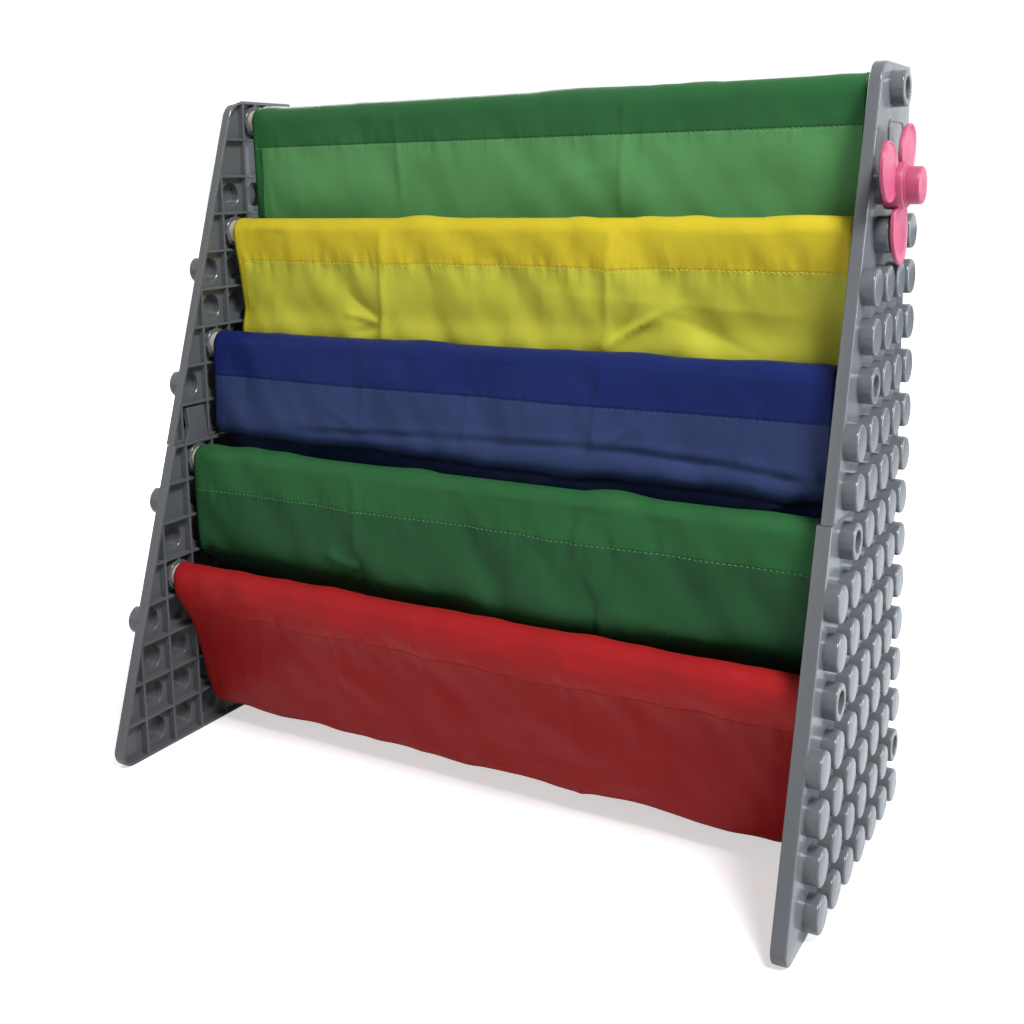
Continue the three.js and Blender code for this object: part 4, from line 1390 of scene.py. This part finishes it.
class BOOKSHELF_OT_stitches(Operator):
    bl_idname = "bookshelf.stitches"
    bl_label = "Build Stitches"

    def execute(self, context):
        cloth = context.scene.bookshelf_cloth
        sizes = context.scene.bookshelf_stitches
        tree = stitch_tree()
        for name, plan in SHEETS.items():
            rows = plan["rows"]
            columns = len(rows[0])
            last = len(rows) - 1
            hem = max(int(round((cloth.hem - 0.0012) / (SHEET_WIDTH / (columns - 1)))), 1)
            seams, hems = ([], []), ([], [])

            def sew(lines, places, lift):
                """A line of points to lay stitches along, lifted off the cloth"""
                points, edges = lines
                start = len(points)
                for k, i in places:
                    points.append(rows[k][i] + surface_normal(rows, k, i) * lift)
                edges.extend((j, j + 1) for j in range(start, len(points) - 1))

            out = cloth.thickness * 0.5 + 0.0001
            sew(seams, [(plan["seam_row"], i) for i in range(1, columns - 1)], out)
            rod_row = int(0.4 * plan["seam_row"])
            for i in (hem, columns - 2):
                sew(hems, [(k, i) for k in range(rod_row, last)], out)
            if plan["rod"] == 0:
                for rod in (1, 2, 3):
                    seam = RODS[rod][1] - POCKET_DEPTH
                    k = min(range(plan["seam_row"], last - 16),
                            key=lambda row: abs(rows[row][0].z - seam))
                    sew(seams, [(k, i) for i in range(1, columns - 1)], -out)
                sew(seams, [(plan["seam_row"], i) for i in range(1, columns - 1)], -out * 3.4)
            elif plan["rod"] != 4:
                step = plan["length"] / last
                k = last - int(round(SEAM_ALLOWANCE * 0.6 / step))
                sew(seams, [(k, i) for i in range(1, columns - 1)], out)
            for label, lines, colour in (("seam", seams, plan["thread"]),
                                         ("hem", hems, tone_of(cloth, name))):
                mesh = bpy.data.meshes.new(f"{name}_{label}_stitches")
                mesh.from_pydata(lines[0], lines[1], [])
                line = bpy.data.objects.new(f"{name}_{label}_stitches", mesh)
                context.scene.collection.objects.link(line)
                thread = thread_finish(f"{name} {label} thread", colour)
                stitches = run_nodes(line, tree, {"Pitch": sizes.pitch, "Length": sizes.length,
                                                  "Thread": sizes.thread, "Seed": plan["seed"],
                                                  "Material": thread})
                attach(stitches, "shelf")
        return {"FINISHED"}


# Spinner

def leaf_outline(count):
    """A blade's outline as (across, along) places, anticlockwise seen from the front"""
    half, root, reach = BLADE_HALF_WIDTH, BLADE_ROOT, BLADE_REACH
    knots = [(half * 0.55, root), (half * 1.45, root + 0.008), (half, reach), (0.0, reach)]
    right = []
    for k in range(count + 1):
        t = k / count
        weights = ((1 - t)**3, 3 * t * (1 - t)**2, 3 * t * t * (1 - t), t**3)
        right.append(Vector((sum(w * p[0] for w, p in zip(weights, knots)),
                             sum(w * p[1] for w, p in zip(weights, knots)))))
    left = [Vector((-p.x, p.y)) for p in reversed(right[:-1])]
    return right + left


def blade(shell, angle, sizes, middle_x):
    """One blade: a raised rim round a gently swelling middle, pitched and set at an angle"""
    outline = leaf_outline(16)
    half, tilt = BLADE_HALF_THICKNESS, BLADE_TILT
    centre_y = 0.030
    width = max(p.x for p in outline)

    def inset(distance):
        """The outline drawn in by a distance"""
        scale_x = 1 - distance / width
        scale_y = 1 - distance / 0.0205
        return [Vector((p.x * scale_x, centre_y + (p.y - centre_y) * scale_y)) for p in outline]

    def placed(points, x):
        """A ring of points at a height over the blade's middle, pitched and set in place"""
        start = len(shell.points)
        for p in points:
            bow = -0.0006 * (p.x / width) ** 2
            local_x, local_y, local_z = x + bow, p.x, p.y
            tilted_x = local_x * math.cos(tilt) - local_y * math.sin(tilt)
            tilted_y = local_x * math.sin(tilt) + local_y * math.cos(tilt)
            y = tilted_y * math.cos(angle) + local_z * math.sin(angle)
            z = -tilted_y * math.sin(angle) + local_z * math.cos(angle)
            shell.points.append((middle_x + tilted_x, PIVOT[0] + y, PIVOT[1] + z))
        return list(range(start, len(shell.points)))

    rim, sink, swell = sizes.rim, sizes.sink, sizes.swell
    rings = [placed(inset(0.0006), -half), placed(inset(0.0), -half + 0.0006),
             placed(inset(0.0), half - 0.0007), placed(inset(0.0003), half - 0.0002),
             placed(inset(0.0008), half), placed(inset(rim), half - 0.0001),
             placed(inset(rim + 0.0005), half - sink)]
    for share in (0.3, 0.5, 0.7, 0.88):
        rings.append(placed(inset(rim + 0.0005 + (width - rim - 0.0005) * share),
                            half - sink + swell * math.sin(share * math.pi / 2)
                            * min(1, share * 1.1)))
    shell.join(*rings)
    shell.cap(rings[0])
    shell.cap(rings[-1])


class BOOKSHELF_OT_spinner(Operator):
    """Build the toy spinner with its hub and three blades"""
    bl_idname = "bookshelf.spinner"
    bl_label = "Build Spinner"

    def execute(self, context):
        sizes = context.scene.bookshelf_spinner
        pink = moulded_plastic("spinner pink", sizes.colour, 0.36)
        face = half_planes(1, True)[0]
        floor, back = face + STUD_HEIGHT + BORE_GAP, face + HUB_LIFT
        front = back + HUB_LENGTH
        top = front + HUB_STUD
        bore, radius, stud = STUD_RADIUS + BORE_GAP, HUB_RADIUS, STUD_RADIUS
        shell = Shell()
        profile = [(floor, 0), (floor, bore), (back + 0.0004, bore),
                   (back, bore + 0.0004), (back, radius - 0.0008), (back + 0.0003, radius - 0.0003),
                   (back + 0.0009, radius), (front - 0.0012, radius),
                   (front - 0.0004, radius - 0.0004), (front, radius - 0.0012),
                   (front, 0.0137), (front + 0.0009, 0.0135), (front + 0.0012, 0.0131),
                   (front + 0.0013, stud), (top - 0.0016, stud),
                   (top - 0.0011, stud - 0.0002), (top - 0.0005, stud - 0.0006),
                   (top - 0.0001, stud - 0.0012), (top, stud - 0.0018), (top, 0.0017),
                   (top - 0.0003, 0.0015), (top - 0.0003, 0.0009), (top, 0.0007), (top, 0)]
        shell.turned(PIVOT, profile, 64, closed=False)
        middle = (face + STUD_HEIGHT + BLADE_CLEARANCE + BLADE_HALF_THICKNESS
                  + BLADE_HALF_WIDTH * math.sin(BLADE_TILT))
        for k in range(3):
            blade(shell, math.radians(FIRST_BLADE + 120 * k), sizes, middle)
        piece = mesh_piece("toy_spinner", shell.points, shell.faces, pink, 40)
        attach(piece, "spinner_body")
        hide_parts("spinner")
        return {"FINISHED"}


# Stage

def add_lamp(name, place, target, size, power, colour=(1, 1, 1)):
    """A square soft lamp aimed at a point"""
    lamp = bpy.data.lights.new(name, "AREA")
    lamp.shape, lamp.size, lamp.energy, lamp.color = "SQUARE", size, power, colour
    holder = bpy.data.objects.new(name, lamp)
    holder.location = place
    holder.rotation_euler = (Vector(target) - Vector(place)).to_track_quat("-Z", "Y").to_euler()
    bpy.context.scene.collection.objects.link(holder)


class BOOKSHELF_OT_stage(Operator):
    """Set up the camera, the lamps, the white surroundings and the floor"""
    bl_idname = "bookshelf.stage"
    bl_label = "Build Stage"

    def execute(self, context):
        scene = context.scene
        sizes = scene.bookshelf_stage
        # The camera's place and lens were found from the grid of studs
        camera = bpy.data.cameras.new("camera")
        camera.sensor_width = 36
        camera.lens = 43.76
        camera.shift_x, camera.shift_y = 0.0241, -0.1315
        camera.clip_start, camera.clip_end = 0.05, 60
        right = Vector((0.8621, 0.5065, -0.0192)).normalized()
        back = Vector((0.5029, -0.8501, 0.1566)).normalized()
        up = back.cross(right).normalized()
        right = up.cross(back)
        turn = Matrix((right, up, back)).transposed().to_4x4()
        holder = bpy.data.objects.new("camera", camera)
        holder.matrix_world = Matrix.Translation((0.4708, -0.7990, 0.4742)) @ turn
        scene.collection.objects.link(holder)
        scene.camera = holder

        add_lamp("overhead lamp", (1.05, -0.66, 1.85), (0, 0, 0.3), 0.5, sizes.overhead)
        add_lamp("window lamp", (1.35, 0.5, 0.5), (0.2, 0, 0.3), 0.7, sizes.window,
                 (0.82, 0.91, 1.0))
        add_lamp("front lamp", (-0.9, -2.0, 1.0), (0, 0, 0.25), 1.4, sizes.front)
        add_lamp("back lamp", (-1.7, 1.5, 1.2), (0, 0, 0.25), 1.3, sizes.back)

        world = bpy.data.worlds.new("surroundings")
        world.use_nodes = True
        tree = Tree(world.node_tree)
        ground = world.node_tree.nodes["Background"]
        rays = tree.add("ShaderNodeLightPath").outputs
        shown = tree.math("MAXIMUM", rays["Is Camera Ray"],
                          tree.math("MAXIMUM", rays["Is Glossy Ray"],
                                    rays["Is Transmission Ray"]))
        strength = tree.spread(shown, sizes.ambient, 1.0)
        ground.inputs["Color"].default_value = (1, 1, 1, 1)
        tree.link(strength, ground.inputs["Strength"])
        scene.world = world

        material, tree, shader = new_material("floor white")
        place = tree.add("ShaderNodeTexCoord").outputs["Object"]
        patches = tree.noise(place, 3.0)
        tree.link(tree.blend(patches, opaque(sizes.floor, 0.99), opaque(sizes.floor, 1.01)),
                  shader.inputs["Base Color"])
        shader.inputs["Roughness"].default_value = 0.9
        shader.inputs["Specular IOR Level"].default_value = 0.1
        rays = tree.add("ShaderNodeLightPath").outputs
        away = tree.add("ShaderNodeVectorMath", {0: place}, operation="LENGTH").outputs["Value"]
        glow = tree.add("ShaderNodeMapRange", {"Value": away, "From Min": 0.5, "From Max": 1.6,
                                               "To Min": 0.55, "To Max": 1.1}).outputs[0]
        shader.inputs["Emission Color"].default_value = (1, 1, 1, 1)
        tree.link(tree.math("MULTIPLY", rays["Is Camera Ray"], glow),
                  shader.inputs["Emission Strength"])
        mesh = bpy.data.meshes.new("floor")
        mesh.from_pydata([(-14, -14, 0), (14, -14, 0), (14, 14, 0), (-14, 14, 0)], [],
                         [(0, 1, 2, 3)])
        mesh.materials.append(material)
        floor = bpy.data.objects.new("floor", mesh)
        scene.collection.objects.link(floor)

        scene.view_settings.view_transform = "Standard"
        return {"FINISHED"}


class BOOKSHELF_PT_build(Panel):
    """Sizes, colours and build steps of the bookshelf"""
    bl_label = "Sling Bookshelf"
    bl_idname = "BOOKSHELF_PT_build"
    bl_space_type = "VIEW_3D"
    bl_region_type = "UI"
    bl_category = "Bookshelf"

    def draw(self, context):
        for name, group in SETTINGS.items():
            box = self.layout.box()
            settings = getattr(context.scene, name)
            for key in group.__annotations__:
                box.prop(settings, key)
        for step in STEPS:
            self.layout.operator(step.bl_idname)


SETTINGS = {
    "bookshelf_panels": PanelSettings,
    "bookshelf_studs": StudSettings,
    "bookshelf_rods": RodSettings,
    "bookshelf_cloth": ClothSettings,
    "bookshelf_stitches": StitchSettings,
    "bookshelf_spinner": SpinnerSettings,
    "bookshelf_stage": StageSettings,
}
STEPS = (BOOKSHELF_OT_stage, BOOKSHELF_OT_panels, BOOKSHELF_OT_studs, BOOKSHELF_OT_rods,
         BOOKSHELF_OT_screws, BOOKSHELF_OT_sheets, BOOKSHELF_OT_stitches, BOOKSHELF_OT_spinner)
CLASSES = (*SETTINGS.values(), *STEPS, BOOKSHELF_PT_build)


def register():
    """Make the settings, steps and panel known to Blender"""
    for item in CLASSES:
        bpy.utils.register_class(item)
    for name, group in SETTINGS.items():
        setattr(bpy.types.Scene, name, PointerProperty(type=group))


def unregister():
    """Take them away again"""
    for name in SETTINGS:
        delattr(bpy.types.Scene, name)
    for item in reversed(CLASSES):
        bpy.utils.unregister_class(item)


def main():
    """Build the bookshelf"""
    register()
    bpy.ops.bookshelf.stage()
    bpy.ops.bookshelf.panels()
    bpy.ops.bookshelf.studs()
    bpy.ops.bookshelf.rods()
    bpy.ops.bookshelf.screws()
    bpy.ops.bookshelf.sheets()
    bpy.ops.bookshelf.stitches()
    bpy.ops.bookshelf.spinner()


if __name__ == "__main__":
    main()
